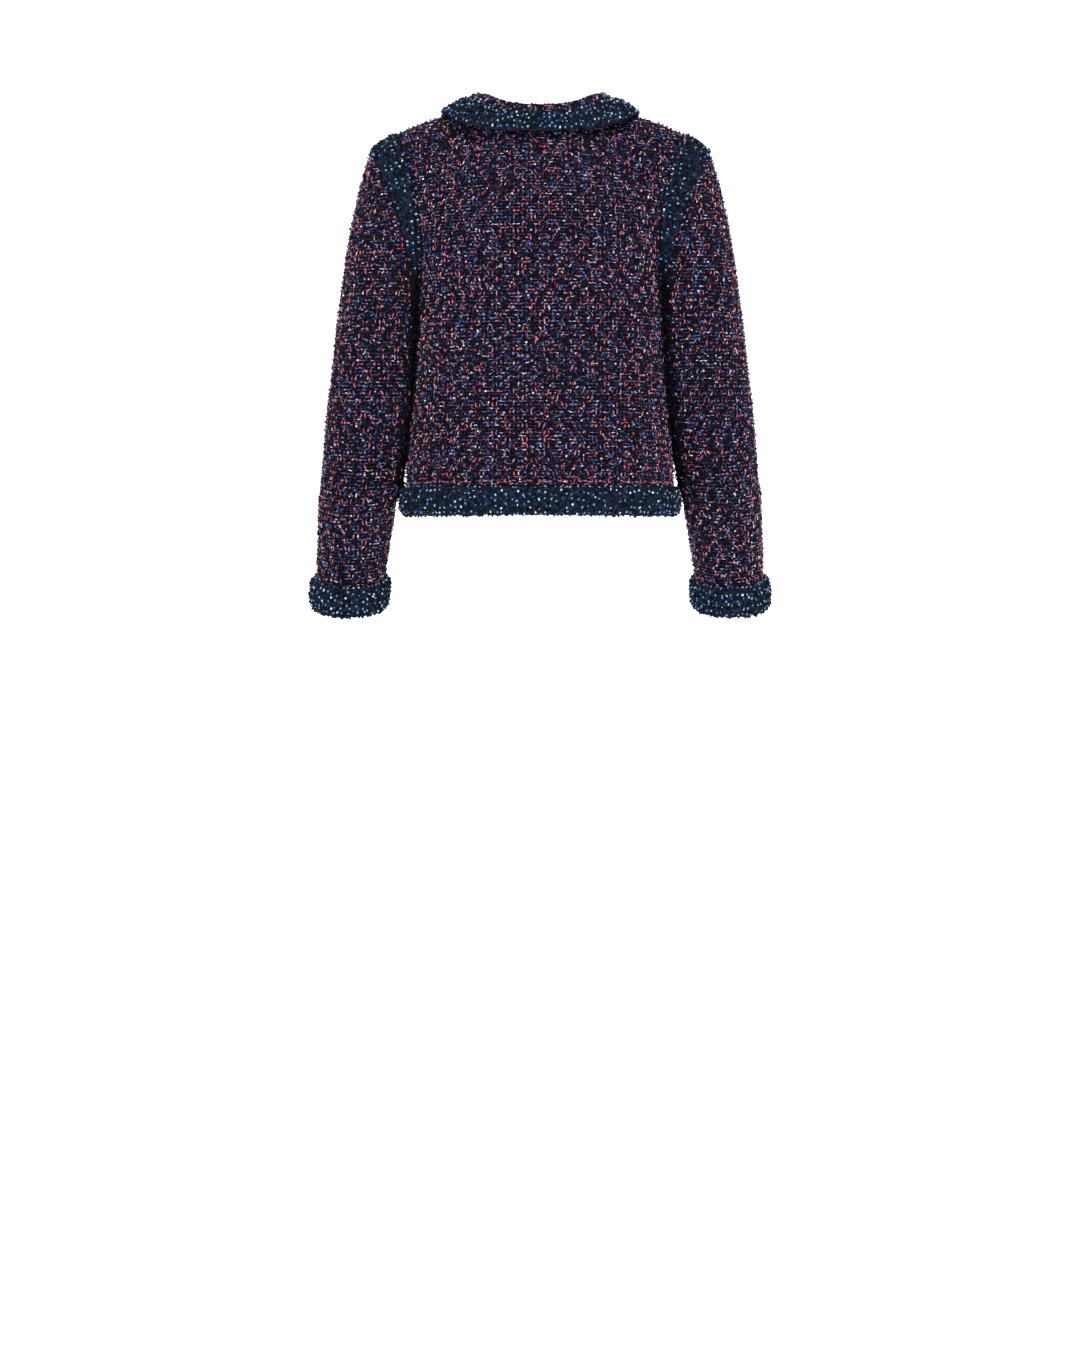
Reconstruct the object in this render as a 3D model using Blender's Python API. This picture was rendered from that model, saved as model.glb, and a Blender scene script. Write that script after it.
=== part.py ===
"""Cropped tweed jacket: a worn, hollow shell of cut pieces with padded trims.

The tables and sizes are in millimetres and the meshes are made in metres, +Z up.
The front faces -Y and the wearer's left is +X. The origin is at the base of the neck.
The tweed pieces are cut from one common outer form, the skin, so that the pieces on both
sides of a seam share its points and its normals, and stay SEAM_GAP apart.
"""

import math

import bpy
import numpy as np
from mathutils.bvhtree import BVHTree

MILLIMETRE = 0.001
COLLECTION_NAME = "cropped_tweed_jacket"

# Cloth
SEAM_GAP = 0.3
TWEED_WALL = 3.0
COLLAR_WALL = 3.0

# Torso: the centre lines of the back and the fronts, from the neck to the hem
BACK_LINE = (  # height, depth
    (-18, 74), (-40, 93), (-70, 107), (-110, 117), (-160, 122),
    (-215, 122), (-294, 119), (-350, 118.5), (-404, 120), (-457, 124), (-488, 125),
)
FRONT_LINE = (  # height, depth
    (-78, -92), (-105, -108), (-140, -123), (-180, -134), (-215, -139),
    (-294, -138), (-350, -135), (-404, -134), (-452, -134), (-484, -134),
)
SIDE_LINE = (  # height, half width
    (-215, 147.5), (-240, 148), (-294, 150.6), (-350, 155), (-404, 160),
    (-457, 163), (-484, 163.5),
)
SIDE_SEAM_DEPTH = -2.0
HEM_BAND_TOP = -453.0
HEM_EDGE = -478.0
HEM_TILT = 4.0  # that the hem is lower at the centre back, and higher at the centre front
LOWER_ROW_HEIGHTS = (-240, -266, -294, -322, -350, -378, -404, -429, HEM_BAND_TOP, HEM_EDGE)
SECTION_SQUARENESS = 0.84  # of a row across: 1 is round, less is fuller at the corners
SECTION_FLATNESS = 0.72  # the same from back to front
SECTION_FALL = 1.6  # more keeps a row level further out before it drops to its edge
SHOULDER_TURN = 62.0  # degrees that a row has turned where it meets the shoulder tip
SIDE_TURN = 90.0
SHOULDER_FADE_ROWS = 10
RELAX_PASSES = 8
RELAX_STRENGTH = 0.6

# Neckline, from the centre back to the centre front
NECKLINE = (  # angle, across, depth, height
    (0, 0, 74, -18),
    (30, 38, 67, -13),
    (60, 69, 42, 0),
    (90, 82, 6, 9),
    (120, 76, -34, -9),
    (150, 47, -73, -47),
    (180, 0, -92, -78),
)
NECK_ANGLE = 90.0  # where the shoulder seam leaves the neckline
NECK_CELLS = 5
SHOULDER_CELLS = 6
NECK_SHARE = 0.37  # of a row's width
SHOULDER_TIP = (177.0, -2.0, -20.0)
SHOULDER_CURVE = 1.45

# Armhole: the body's edge and the sleeve's edge, between which the trim is set
ARMHOLE = (  # angle from the top, body across, height, reach, sleeve across, height, reach
    (0, 177, -20, 0, 207.5, -43, 0),
    (30, 171.5, -34, 28, 200.5, -55.5, 31),
    (60, 158.5, -70, 47, 185.5, -88, 52),
    (90, 147, -119, 55, 170.5, -131.5, 60),
    (120, 143.8, -167, 50, 157.5, -175, 54),
    (150, 145.6, -202, 30, 150.8, -207, 33),
    (180, 147.5, -215, 0, 152.3, -219, 0),
)
ARMHOLE_FRONT_REACH = 0.92
ARMHOLE_STEPS = 14  # from the top to the underarm
ARMHOLE_TRIM_CELLS = 4
ARMHOLE_TRIM_PAD = 3.0
FULL_PAD_WIDTH = 30.0  # a band narrower than this is padded less

# Sleeve: rings down the arm; the forearm leans forward
SLEEVE_RINGS = (  # height, inner side, outer side, depth, half depth, tilt
    (-240, 149, 245.5, -1, 64, 0),
    (-270, 150.1, 249.5, -1, 62, 0),
    (-300, 151, 253, -2, 60, 1),
    (-322, 152.2, 255.5, -3, 58.5, 2),
    (-344, 154.7, 258, -5, 57.5, 4),
    (-366, 155.4, 260, -8, 57, 6),
    (-390, 159.4, 262.5, -12, 56.5, 9),
    (-420, 162.3, 266, -18, 56, 11),
    (-452, 171.3, 269.5, -25, 55.5, 13),
    (-488, 179.5, 271.5, -34, 54.5, 15),
    (-524, 185.5, 273, -43, 53.5, 15),
    (-560, 191.5, 274.5, -52, 53, 15),
    (-590, 194, 276, -60, 52.5, 15),
)
SLEEVE_HEAD_CELLS = 5
SLEEVE_HEAD_LEAN = 0.45  # how far the sleeve leaves the trim outwards
SLEEVE_HEAD_DROP = 0.9  # and downwards

# Soft forms: raised with a positive depth, hollow with a negative one
BACK_FORMS = (  # across, height, depth, half width, half height
    (82, -125, 3.5, 48, 48),
    (60, -322, 1.5, 110, 30),
    (40, -400, -1.8, 160, 26),
)
FRONT_FORMS = (  # across, height, depth, half width, half height
    (84, -205, 9.0, 46, 52),
    (60, -330, -2.5, 120, 26),
    (50, -405, 2.0, 120, 24),
)
SLEEVE_FORMS = (  # angle round the arm, height, depth, half angle, half height
    (-95, -322, -4.0, 55, 13),
    (-110, -366, -5.0, 60, 14),
    (-80, -420, -3.0, 60, 16),
    (100, -300, -2.5, 50, 18),
    (70, -366, 2.5, 60, 26),
)

# Collar: a stand, a roll and a fall that lies on the shoulders
COLLAR_ANGLES = (
    0, 9, 18, 27, 36, 45, 54, 63, 72, 81, 90, 99, 108, 117, 126, 135, 144, 153,
    161, 168, 173.5, 177, 179,
)
COLLAR = (  # angle, roll across, depth, height, edge across, depth, height
    (0, 0, 70, 5, 0, 101, -28),
    (30, 36, 63, 9, 57, 92, -24),
    (60, 64, 39, 21.5, 100, 56, -12),
    (90, 75, 6, 24.5, 118, 4, 3),
    (120, 70, -33, 11, 111, -52, -25),
    (150, 42, -74, -27, 71, -106, -80),
    (180, 0, -94, -58, 0, -128, -118),
)
COLLAR_ROLL_RADIUS = 3.6
COLLAR_ROLL_CELLS = 3
COLLAR_FALL_SHARES = (0.2, 0.55, 0.9)  # where the trim starts, its middle, and the tweed's edge
COLLAR_CORNER = 20.0  # radius of the rounded front corners
COLLAR_SPREAD = 1.3  # how much longer the collar is than the neckline where it is widest
COLLAR_LIFT = 2.7  # of the tweed's underside above the body, room for the trim's turn-under

# Trims: padded bands turned round an edge
BAND_OUTSIDE = (  # share of the band's width, share of its padding
    (0.0, 0.45), (0.12, 0.88), (0.5, 1.0), (0.88, 0.96),
)
BAND_EDGE = (  # share of the drop below the edge, share of the padding outside
    (0.72, 0.62), (1.0, 0.1),
)
BAND_UNDER_DROP = 0.6  # where the band turns under, as a share of the drop
BAND_UNDER_FULLNESS = 0.75  # and of the inside padding
BAND_STOP_FULLNESS = 0.7  # the inside padding where the band ends
HEM_PADDING = (7.0, 6.0, 3.0)  # outside, below the edge, inside
CUFF_PADDING = (7.5, 6.0, 3.0)
COLLAR_TRIM_PADDING = (3.6, 4.2, 1.5)
TURN_UP_SHARE = 0.6  # of the band's width that stays bare inside

TWEED_COLOUR = (0.045, 0.034, 0.058, 1.0)
TRIM_COLOUR = (0.016, 0.026, 0.05, 1.0)


def smooth(table_x, table_y, x):
    """Value at x of a smooth curve through a table's points, with x in either order."""
    xs = np.asarray(table_x, float)
    ys = np.asarray(table_y, float)
    if xs[0] > xs[-1]:
        xs = xs[::-1]
        ys = ys[::-1]
    slopes = np.gradient(ys, xs)
    x = np.clip(x, xs[0], xs[-1])
    i = np.clip(np.searchsorted(xs, x) - 1, 0, len(xs) - 2)
    width = xs[i + 1] - xs[i]
    s = (x - xs[i]) / width
    start = (2 * s**3 - 3 * s**2 + 1) * ys[i] + (s**3 - 2 * s**2 + s) * width * slopes[i]
    end = (3 * s**2 - 2 * s**3) * ys[i + 1] + (s**3 - s**2) * width * slopes[i + 1]
    return start + end


def column(table, index):
    """One column of a table."""
    return [row[index] for row in table]


def around(table, index, angle, odd=False):
    """Value at an angle of -180 to 180 of a table that runs from 0 to 180 and mirrors."""
    angles = column(table, 0)
    values = column(table, index)
    sign = -1 if odd else 1
    long_angles = [-angles[1]] + angles + [2 * angles[-1] - angles[-2]]
    long_values = [sign * values[1]] + values + [sign * values[-2]]
    value = smooth(long_angles, long_values, abs(angle))
    return value * (sign if angle < 0 else 1)


def unit(vector):
    """A vector, or an array of them, at length one."""
    length = np.linalg.norm(vector, axis=-1, keepdims=True)
    return vector / np.maximum(length, 1e-9)


def bump(distance):
    """A soft hill of height one that dies away past distance one."""
    return np.exp(-0.5 * distance**2)


# ---------------------------------------------------------------- torso


def neck_point(angle):
    """A point of the neckline: 0 is the centre back, 180 the centre front."""
    return np.array((
        around(NECKLINE, 1, angle, odd=True),
        around(NECKLINE, 2, angle),
        around(NECKLINE, 3, angle),
    ))


def neck_edge(angle):
    """A point of the neckline as the panels are cut, straight between their columns."""
    cell = NECK_ANGLE / NECK_CELLS
    first = math.floor(angle / cell)
    start = neck_point(first * cell)
    return start + (neck_point(min((first + 1) * cell, 180.0)) - start) * (angle / cell - first)


def shoulder_point(share):
    """A point of the shoulder seam, from the neck at 0 to the tip at 1."""
    neck = neck_point(NECK_ANGLE)
    tip = np.array(SHOULDER_TIP)
    point = neck + (tip - neck) * share
    point[2] = neck[2] + (tip[2] - neck[2]) * share**SHOULDER_CURVE
    return point


def armhole_point(angle, sleeve_edge=False):
    """A point of the left armhole: 0 is the shoulder tip, 90 the back, -90 the front."""
    first = 4 if sleeve_edge else 1
    reach = around(ARMHOLE, first + 2, angle, odd=True)
    if angle < 0:
        reach *= ARMHOLE_FRONT_REACH
    return np.array((
        around(ARMHOLE, first, angle),
        SIDE_SEAM_DEPTH + reach,
        around(ARMHOLE, first + 1, angle),
    ))


def row_shares():
    """Where a panel's columns stand between the centre line at 0 and the edge at 1."""
    neck = [NECK_SHARE * k / NECK_CELLS for k in range(NECK_CELLS)]
    shoulder = 1 - NECK_SHARE
    return neck + [NECK_SHARE + shoulder * k / SHOULDER_CELLS for k in range(SHOULDER_CELLS + 1)]


def row_point(centre, edge, turn, share):
    """A point of a row that leaves the centre line squarely and has turned by turn at its edge."""
    angle = math.radians(turn) * share
    last = math.radians(turn)
    across = (math.sin(angle) / math.sin(last)) ** SECTION_SQUARENESS
    start = 1 - max(math.cos(angle), 0.0) ** SECTION_FLATNESS
    back = start / (1 - max(math.cos(last), 0.0) ** SECTION_FLATNESS)
    fall = math.sin(math.pi / 2 * share) ** SECTION_FALL
    return np.array((
        edge[0] * across,
        centre[1] + (edge[1] - centre[1]) * back,
        centre[2] + (edge[2] - centre[2]) * fall,
    ))


def form_depth(forms, across, height):
    """How far a panel's soft forms raise or hollow it at a place."""
    depth = 0.0
    for form_across, form_height, form_depth_there, half_width, half_height in forms:
        sideways = (abs(across) - form_across) / half_width
        reach = math.hypot(sideways, (height - form_height) / half_height)
        depth += form_depth_there * bump(reach)
    return depth


def relax(grid, last_row):
    """Ease the rows below the neck and shoulder towards their neighbours, edges held."""
    for _ in range(RELAX_PASSES):
        old = grid.copy()
        centre_side = old[:, 1] * (-1, 1, 1)
        beside = np.concatenate((centre_side[:, None], old[:, :-1]), axis=1)
        for i in range(1, last_row + 1):
            mean = (old[i - 1, :-1] + old[i + 1, :-1] + beside[i, :-1] + old[i, 1:]) / 4
            strength = RELAX_STRENGTH * math.sin(math.pi * i / (last_row + 1))
            grid[i, :-1] += (mean - old[i, :-1]) * strength


def half_panel(side):
    """Rows of the left half of the back (side 1) or of the left front (side -1)."""
    line = BACK_LINE if side > 0 else FRONT_LINE
    forms = BACK_FORMS if side > 0 else FRONT_FORMS
    neck_start = 0.0 if side > 0 else 180.0
    shares = row_shares()
    underarm = armhole_point(180)[2]
    top_height = line[0][0]

    top = []
    for k in range(NECK_CELLS):
        top.append(neck_point(neck_start + (NECK_ANGLE - neck_start) * k / NECK_CELLS))
    for k in range(SHOULDER_CELLS + 1):
        top.append(shoulder_point(k / SHOULDER_CELLS))
    tip = np.array(SHOULDER_TIP)
    plain_top = [row_point(top[0], tip, SHOULDER_TURN, share) for share in shares]

    rows = [top]
    for step in range(1, ARMHOLE_STEPS + 1):
        done = step / ARMHOLE_STEPS
        height = top_height + (underarm - top_height) * done
        centre = (0, smooth(column(line, 0), column(line, 1), height), height)
        edge = armhole_point(180 * done * side)
        turn = SHOULDER_TURN + (SIDE_TURN - SHOULDER_TURN) * done
        left = min(1.0, step / SHOULDER_FADE_ROWS)
        fade = 1 - left * left * (3 - 2 * left)
        row = []
        for share, top_point, plain in zip(shares, top, plain_top):
            row.append(row_point(centre, edge, turn, share) + fade * (top_point - plain))
        row[-1] = edge
        rows.append(row)
    for height in LOWER_ROW_HEIGHTS:
        centre_height = height - side * HEM_TILT * (height - underarm) / (HEM_EDGE - underarm)
        centre = (0, smooth(column(line, 0), column(line, 1), centre_height), centre_height)
        half_width = smooth(column(SIDE_LINE, 0), column(SIDE_LINE, 1), height)
        edge = (half_width, SIDE_SEAM_DEPTH, height)
        rows.append([row_point(centre, edge, SIDE_TURN, share) for share in shares])

    grid = np.array(rows)
    relax(grid, SHOULDER_FADE_ROWS)
    for row in grid[1:-2]:
        for point, share in zip(row, shares):
            depth = form_depth(forms, point[0], point[2]) * (1 - share**3)
            point[1] += side * depth
    return grid


# ---------------------------------------------------------------- arm


def arm_angles():
    """The stations round the armhole and the sleeve, from the underarm up the back and over."""
    return [180 * k / ARMHOLE_STEPS for k in range(ARMHOLE_STEPS, -ARMHOLE_STEPS, -1)]


def armhole_trim_grid():
    """The band between the body's edge and the sleeve's, as a ring of stations."""
    rows = []
    for k in range(ARMHOLE_TRIM_CELLS + 1):
        share = k / ARMHOLE_TRIM_CELLS
        row = []
        for angle in arm_angles():
            body = armhole_point(angle)
            sleeve = armhole_point(angle, sleeve_edge=True)
            row.append(body + (sleeve - body) * share)
        rows.append(row)
    return np.array(rows)


def sleeve_ring(values, angle):
    """A point of a ring of the sleeve: 0 is the outer side, 90 the back."""
    height, inner, outer, depth, half_depth, tilt = values
    turn = math.radians(angle)
    lean = math.radians(tilt)
    push = 0.0
    for form_angle, form_height, form_depth_there, half_angle, half_height in SLEEVE_FORMS:
        off = (angle - form_angle + 180) % 360 - 180
        reach = math.hypot(off / half_angle, (height - form_height) / half_height)
        push += form_depth_there * bump(reach)
    half_width = (outer - inner) / 2 + push
    deep = (half_depth + push) * math.sin(turn)
    return np.array((
        (outer + inner) / 2 + half_width * math.cos(turn),
        depth + deep * math.cos(lean),
        height - deep * math.sin(lean),
    ))


def sleeve_grid():
    """The sleeve from the armhole trim to its end, as rings of stations."""
    angles = arm_angles()
    start = [armhole_point(angle, sleeve_edge=True) for angle in angles]
    body = [armhole_point(angle) for angle in angles]
    first = [sleeve_ring(SLEEVE_RINGS[0], angle) for angle in angles]
    second = [sleeve_ring(SLEEVE_RINGS[1], angle) for angle in angles]
    rows = [start]
    for step in range(1, SLEEVE_HEAD_CELLS):
        s = step / SLEEVE_HEAD_CELLS
        row = []
        for k in range(len(angles)):
            length = np.linalg.norm(first[k] - start[k])
            leave = unit(start[k] - body[k]) * SLEEVE_HEAD_LEAN
            leave[2] -= SLEEVE_HEAD_DROP
            arrive = unit(second[k] - first[k])
            row.append(
                (2 * s**3 - 3 * s**2 + 1) * start[k]
                + (s**3 - 2 * s**2 + s) * length * leave
                + (3 * s**2 - 2 * s**3) * first[k]
                + (s**3 - s**2) * length * arrive
            )
        rows.append(row)
    for values in SLEEVE_RINGS:
        rows.append([sleeve_ring(values, angle) for angle in angles])
    return np.array(rows)


# ---------------------------------------------------------------- skin


def mirrored(grid):
    """A grid on the other side of the centre plane, still facing out."""
    other = grid.copy()
    other[..., 0] *= -1
    return other[:, ::-1]


class Skin:
    """The outer form of all the tweed pieces, with normals shared along their seams."""

    def __init__(self):
        self.normal_sums = {}

    @staticmethod
    def key(point):
        """The same key for the same place in two grids."""
        return tuple(int(round(value * 100)) for value in point)

    def add(self, grid, closed):
        """Add a grid's cells to the normals of its points."""
        rows, columns, _ = grid.shape
        for i in range(rows - 1):
            for j in range(columns if closed else columns - 1):
                a = grid[i, j]
                b = grid[i, (j + 1) % columns]
                c = grid[i + 1, (j + 1) % columns]
                d = grid[i + 1, j]
                normal = np.cross(c - a, d - b)
                for point in (a, b, c, d):
                    self.normal_sums.setdefault(self.key(point), np.zeros(3))
                    self.normal_sums[self.key(point)] += normal

    def normals(self, grid):
        """The shared normals at a grid's points."""
        flat = [self.normal_sums[self.key(point)] for point in grid.reshape(-1, 3)]
        return unit(np.array(flat)).reshape(grid.shape)


def side_shift(line, inner_line, normals, looped):
    """Vectors that move a side's points half a gap into its own piece, square to the side."""
    if looped:
        along = np.roll(line, -1, axis=0) - np.roll(line, 1, axis=0)
    else:
        along = np.gradient(line, axis=0)
    square = unit(np.cross(along, normals))
    inward = np.sum(square * (inner_line - line), axis=-1, keepdims=True)
    return square * np.sign(inward) * SEAM_GAP / 2


def parted(grid, normals, sides, closed):
    """Vectors that pull a grid back from its seams by half the gap.

    sides names the seams: top and bottom, or start and end with the rows that they run between.
    """
    shift = np.zeros_like(grid)
    for side, *rows in sides:
        if side in ("top", "bottom"):
            line, inner_line = (0, 1) if side == "top" else (-1, -2)
            shift[line] += side_shift(grid[line], grid[inner_line], normals[line], closed)
        else:
            line, inner_line = (0, 1) if side == "start" else (-1, -2)
            run = slice(rows[0], rows[1])
            edge = grid[run, line]
            shift[run, line] += side_shift(edge, grid[run, inner_line], normals[run, line], False)
    return shift


def make_object(name, vertices, faces, colour, collection):
    """A mesh object in metres with its own material."""
    mesh = bpy.data.meshes.new(name)
    mesh.from_pydata([tuple(point * MILLIMETRE) for point in vertices], [], faces)
    mesh.validate()
    mesh.shade_smooth()
    mesh.set_sharp_from_angle(angle=math.radians(50))
    material = bpy.data.materials.new(name)
    material.use_nodes = True
    shader = material.node_tree.nodes["Principled BSDF"]
    shader.inputs["Base Color"].default_value = colour
    shader.inputs["Roughness"].default_value = 0.95
    shader.inputs["Metallic"].default_value = 0.0
    mesh.materials.append(material)
    thing = bpy.data.objects.new(name, mesh)
    collection.objects.link(thing)
    return thing


def rim_faces(vertices, a, b, b_inside, a_inside):
    """Two triangles of a rim, split from its higher outer corner as its neighbour's rim is."""
    if vertices[a][2] > vertices[b][2]:
        return [(a, b, b_inside), (a, b_inside, a_inside)]
    return [(a, b, a_inside), (b, b_inside, a_inside)]


def cell_faces(upper, upper_next, lower_next, lower):
    """Two triangles of a cell, always split from the upper corner to the next lower one."""
    return [(upper, upper_next, lower_next), (upper, lower_next, lower)]


def make_wall(name, outer, inner, closed, colour, collection):
    """A closed wall between two grids of the same shape, with a rim on each open side."""
    rows, columns, _ = outer.shape
    count = rows * columns
    vertices = np.concatenate((outer.reshape(-1, 3), inner.reshape(-1, 3)))

    def at(i, j, inside=False):
        return i * columns + j % columns + (count if inside else 0)

    faces = []
    last = columns if closed else columns - 1
    for i in range(rows - 1):
        for j in range(last):
            corners = (at(i, j), at(i, j + 1), at(i + 1, j + 1), at(i + 1, j))
            for face in cell_faces(*corners):
                faces.append(face)
                faces.append(tuple(corner + count for corner in reversed(face)))
    sides = [[(0, j) for j in range(last, -1, -1)], [(rows - 1, j) for j in range(last + 1)]]
    if not closed:
        sides.append([(i, 0) for i in range(rows)])
        sides.append([(i, columns - 1) for i in range(rows - 1, -1, -1)])
    for side in sides:
        for here, following in zip(side, side[1:]):
            a = at(*here)
            b = at(*following)
            faces.extend(rim_faces(vertices, a, b, b + count, a + count))
    return make_object(name, vertices, faces, colour, collection)


def make_panel(name, grid, skin, sides, closed, collection, pad=0.0, colour=TWEED_COLOUR):
    """A wall cut from the skin, parted from its neighbours, with padding between its edges."""
    normals = skin.normals(grid)
    shift = parted(grid, normals, sides, closed)
    width = np.linalg.norm(grid[-1] - grid[0], axis=-1)
    fullness = pad * np.minimum(1.0, (width / FULL_PAD_WIDTH) ** 2)
    rise = np.outer(np.sin(np.pi * np.arange(len(grid)) / (len(grid) - 1)), fullness)
    outer = grid + shift + normals * rise[:, :, None]
    inner = grid + shift - normals * TWEED_WALL
    return make_wall(name, outer, inner, closed, colour, collection)


# ---------------------------------------------------------------- bands


def line_at(lines, share):
    """The line at a share of the way down a band, between the given lines."""
    place = share * (len(lines) - 1)
    first = min(int(place), len(lines) - 2)
    return lines[first] + (lines[first + 1] - lines[first]) * (place - first)


def make_band(name, outside, inside, padding, closed, collection):
    """A padded strip turned round a piece's edge.

    outside and inside hold the piece's two faces as lines of stations, from where the band
    starts down to the edge. padding gives its thickness outside, below the edge and inside.
    """
    pad, drop, turn_under = padding
    out = unit(outside - inside)
    edge = outside[-1]
    inner_edge = inside[-1]
    edge_out = out[-1]
    away = unit(edge - outside[-2])
    middle = (edge + inner_edge) / 2
    half = np.linalg.norm(edge - inner_edge, axis=-1, keepdims=True) / 2

    section = [outside[0] + out[0] * SEAM_GAP]
    for share, fullness in BAND_OUTSIDE:
        section.append(line_at(outside, share) + line_at(out, share) * (SEAM_GAP + pad * fullness))
    for share, fullness in BAND_EDGE:
        section.append(middle + away * drop * share + edge_out * (half + pad * fullness))
    under = half + turn_under * BAND_UNDER_FULLNESS
    section.append(middle + away * drop * BAND_UNDER_DROP - edge_out * under)
    stop = line_at(inside, TURN_UP_SHARE)
    stop_out = line_at(out, TURN_UP_SHARE)
    section.append(inner_edge - edge_out * (SEAM_GAP + turn_under))
    section.append(stop - stop_out * (SEAM_GAP + turn_under * BAND_STOP_FULLNESS))
    section.append(stop - stop_out * SEAM_GAP)
    section.append(inner_edge + away * SEAM_GAP - edge_out * SEAM_GAP)
    section.append(edge + away * SEAM_GAP + edge_out * SEAM_GAP)
    for k in range(len(outside) - 2, 0, -1):
        section.append(outside[k] + out[k] * SEAM_GAP)

    loop = np.array(section)
    points, stations, _ = loop.shape
    first_rising = points - len(outside) + 1  # from here the section runs back up the piece
    vertices = loop.reshape(-1, 3)
    faces = []
    for i in range(points):
        below = (i + 1) % points
        for j in range(stations if closed else stations - 1):
            following = (j + 1) % stations
            here = (i * stations + j, i * stations + following)
            there = (below * stations + j, below * stations + following)
            if i < first_rising:
                faces.extend(cell_faces(here[0], here[1], there[1], there[0]))
            else:
                turned = cell_faces(there[0], there[1], here[1], here[0])
                faces.extend(tuple(reversed(face)) for face in turned)
    if not closed:
        faces.append(tuple(k * stations for k in range(points)))
        faces.append(tuple(k * stations + stations - 1 for k in range(points - 1, -1, -1)))
    return make_object(name, vertices, faces, TRIM_COLOUR, collection)


# ---------------------------------------------------------------- collar


def corner_share(distance, width):
    """Share of the collar's width that is left at a distance from its rounded front end."""
    if distance >= COLLAR_CORNER:
        return 1.0
    cut = COLLAR_CORNER - math.sqrt(COLLAR_CORNER**2 - (COLLAR_CORNER - distance) ** 2)
    return 1.0 - cut / width


def collar_profile(angle, end_distance):
    """The collar's middle line at a station: stand, roll and fall."""
    base = neck_edge(angle)
    roll = np.array([around(COLLAR, index, angle, odd=index == 1) for index in (1, 2, 3)])
    edge = np.array([around(COLLAR, index, angle, odd=index == 4) for index in (4, 5, 6)])
    up = unit(roll - base)
    fall = edge - roll
    over = unit(fall - up * np.dot(fall, up))
    radius = COLLAR_ROLL_RADIUS
    stand = np.linalg.norm(roll - base) - radius
    turn = math.pi / 2 - math.atan2(np.dot(fall, up), np.dot(fall, over))
    points = [base, base + up * stand * 0.5]
    for k in range(COLLAR_ROLL_CELLS + 1):
        a = math.pi - turn * k / COLLAR_ROLL_CELLS
        points.append(base + over * radius * (1 + math.cos(a)) + up * (stand + radius * math.sin(a)))
    start = points[-1]
    fall = edge - start
    fall = fall * corner_share(end_distance, np.linalg.norm(fall))
    for share in COLLAR_FALL_SHARES:
        points.append(start + fall * share)
    return points


def collar_grid():
    """The collar's middle surface, from the left front end round the back to the right."""
    half = list(COLLAR_ANGLES)
    places = [neck_point(angle) * COLLAR_SPREAD for angle in half]
    distances = [0.0]
    for a, b in zip(places[:0:-1], places[-2::-1]):
        distances.append(distances[-1] + float(np.linalg.norm(a - b)))
    distances = distances[::-1]
    left = [collar_profile(angle, distance) for angle, distance in zip(half, distances)]
    left = np.array(left)
    right = left[:0:-1].copy()
    right[..., 0] *= -1
    stations = np.concatenate((right, left))
    return np.swapaxes(stations, 0, 1)


def grid_normals(grid):
    """Normals of an open grid from its own cells."""
    skin = Skin()
    skin.add(grid, closed=False)
    return skin.normals(grid)


def lift_off(grid, tree, clearance):
    """Move the points that lie too near the body out along its normals."""
    for row in grid:
        for point in row:
            place, normal, _, _ = tree.find_nearest(tuple(point))
            height = float(np.dot(point - np.array(place), np.array(normal)))
            if height < clearance:
                point += np.array(normal) * (clearance - height)


def body_tree(grids):
    """A search tree over the outer faces of the body panels."""
    vertices = []
    faces = []
    for grid in grids:
        rows, columns, _ = grid.shape
        first = len(vertices)
        vertices.extend(tuple(point) for point in grid.reshape(-1, 3))
        for i in range(rows - 1):
            for j in range(columns - 1):
                a = first + i * columns + j
                faces.append((a, a + 1, a + columns + 1, a + columns))
    return BVHTree.FromPolygons(vertices, faces)


def make_collar(skin, body_grids, collection):
    """The tweed collar and the padded trim on its free edge."""
    grid = collar_grid()
    tree = body_tree(body_grids)
    lift_off(grid[-3:], tree, COLLAR_LIFT + COLLAR_WALL / 2)
    normals = grid_normals(grid)
    outer = grid + normals * COLLAR_WALL / 2
    inner = grid - normals * COLLAR_WALL / 2
    step = unit(grid[1] - grid[0]) * SEAM_GAP
    across = unit(outer[0] - inner[0])
    inner[0] = grid[0] + step
    outer[0] = inner[0] + across * TWEED_WALL
    make_wall("collar", outer, inner, False, TWEED_COLOUR, collection)
    make_band("collar_trim", outer[-3:], inner[-3:], COLLAR_TRIM_PADDING, False, collection)


# ---------------------------------------------------------------- build


def clear_scene():
    """Remove every object that the file opened with."""
    for thing in list(bpy.data.objects):
        bpy.data.objects.remove(thing, do_unlink=True)


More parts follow.
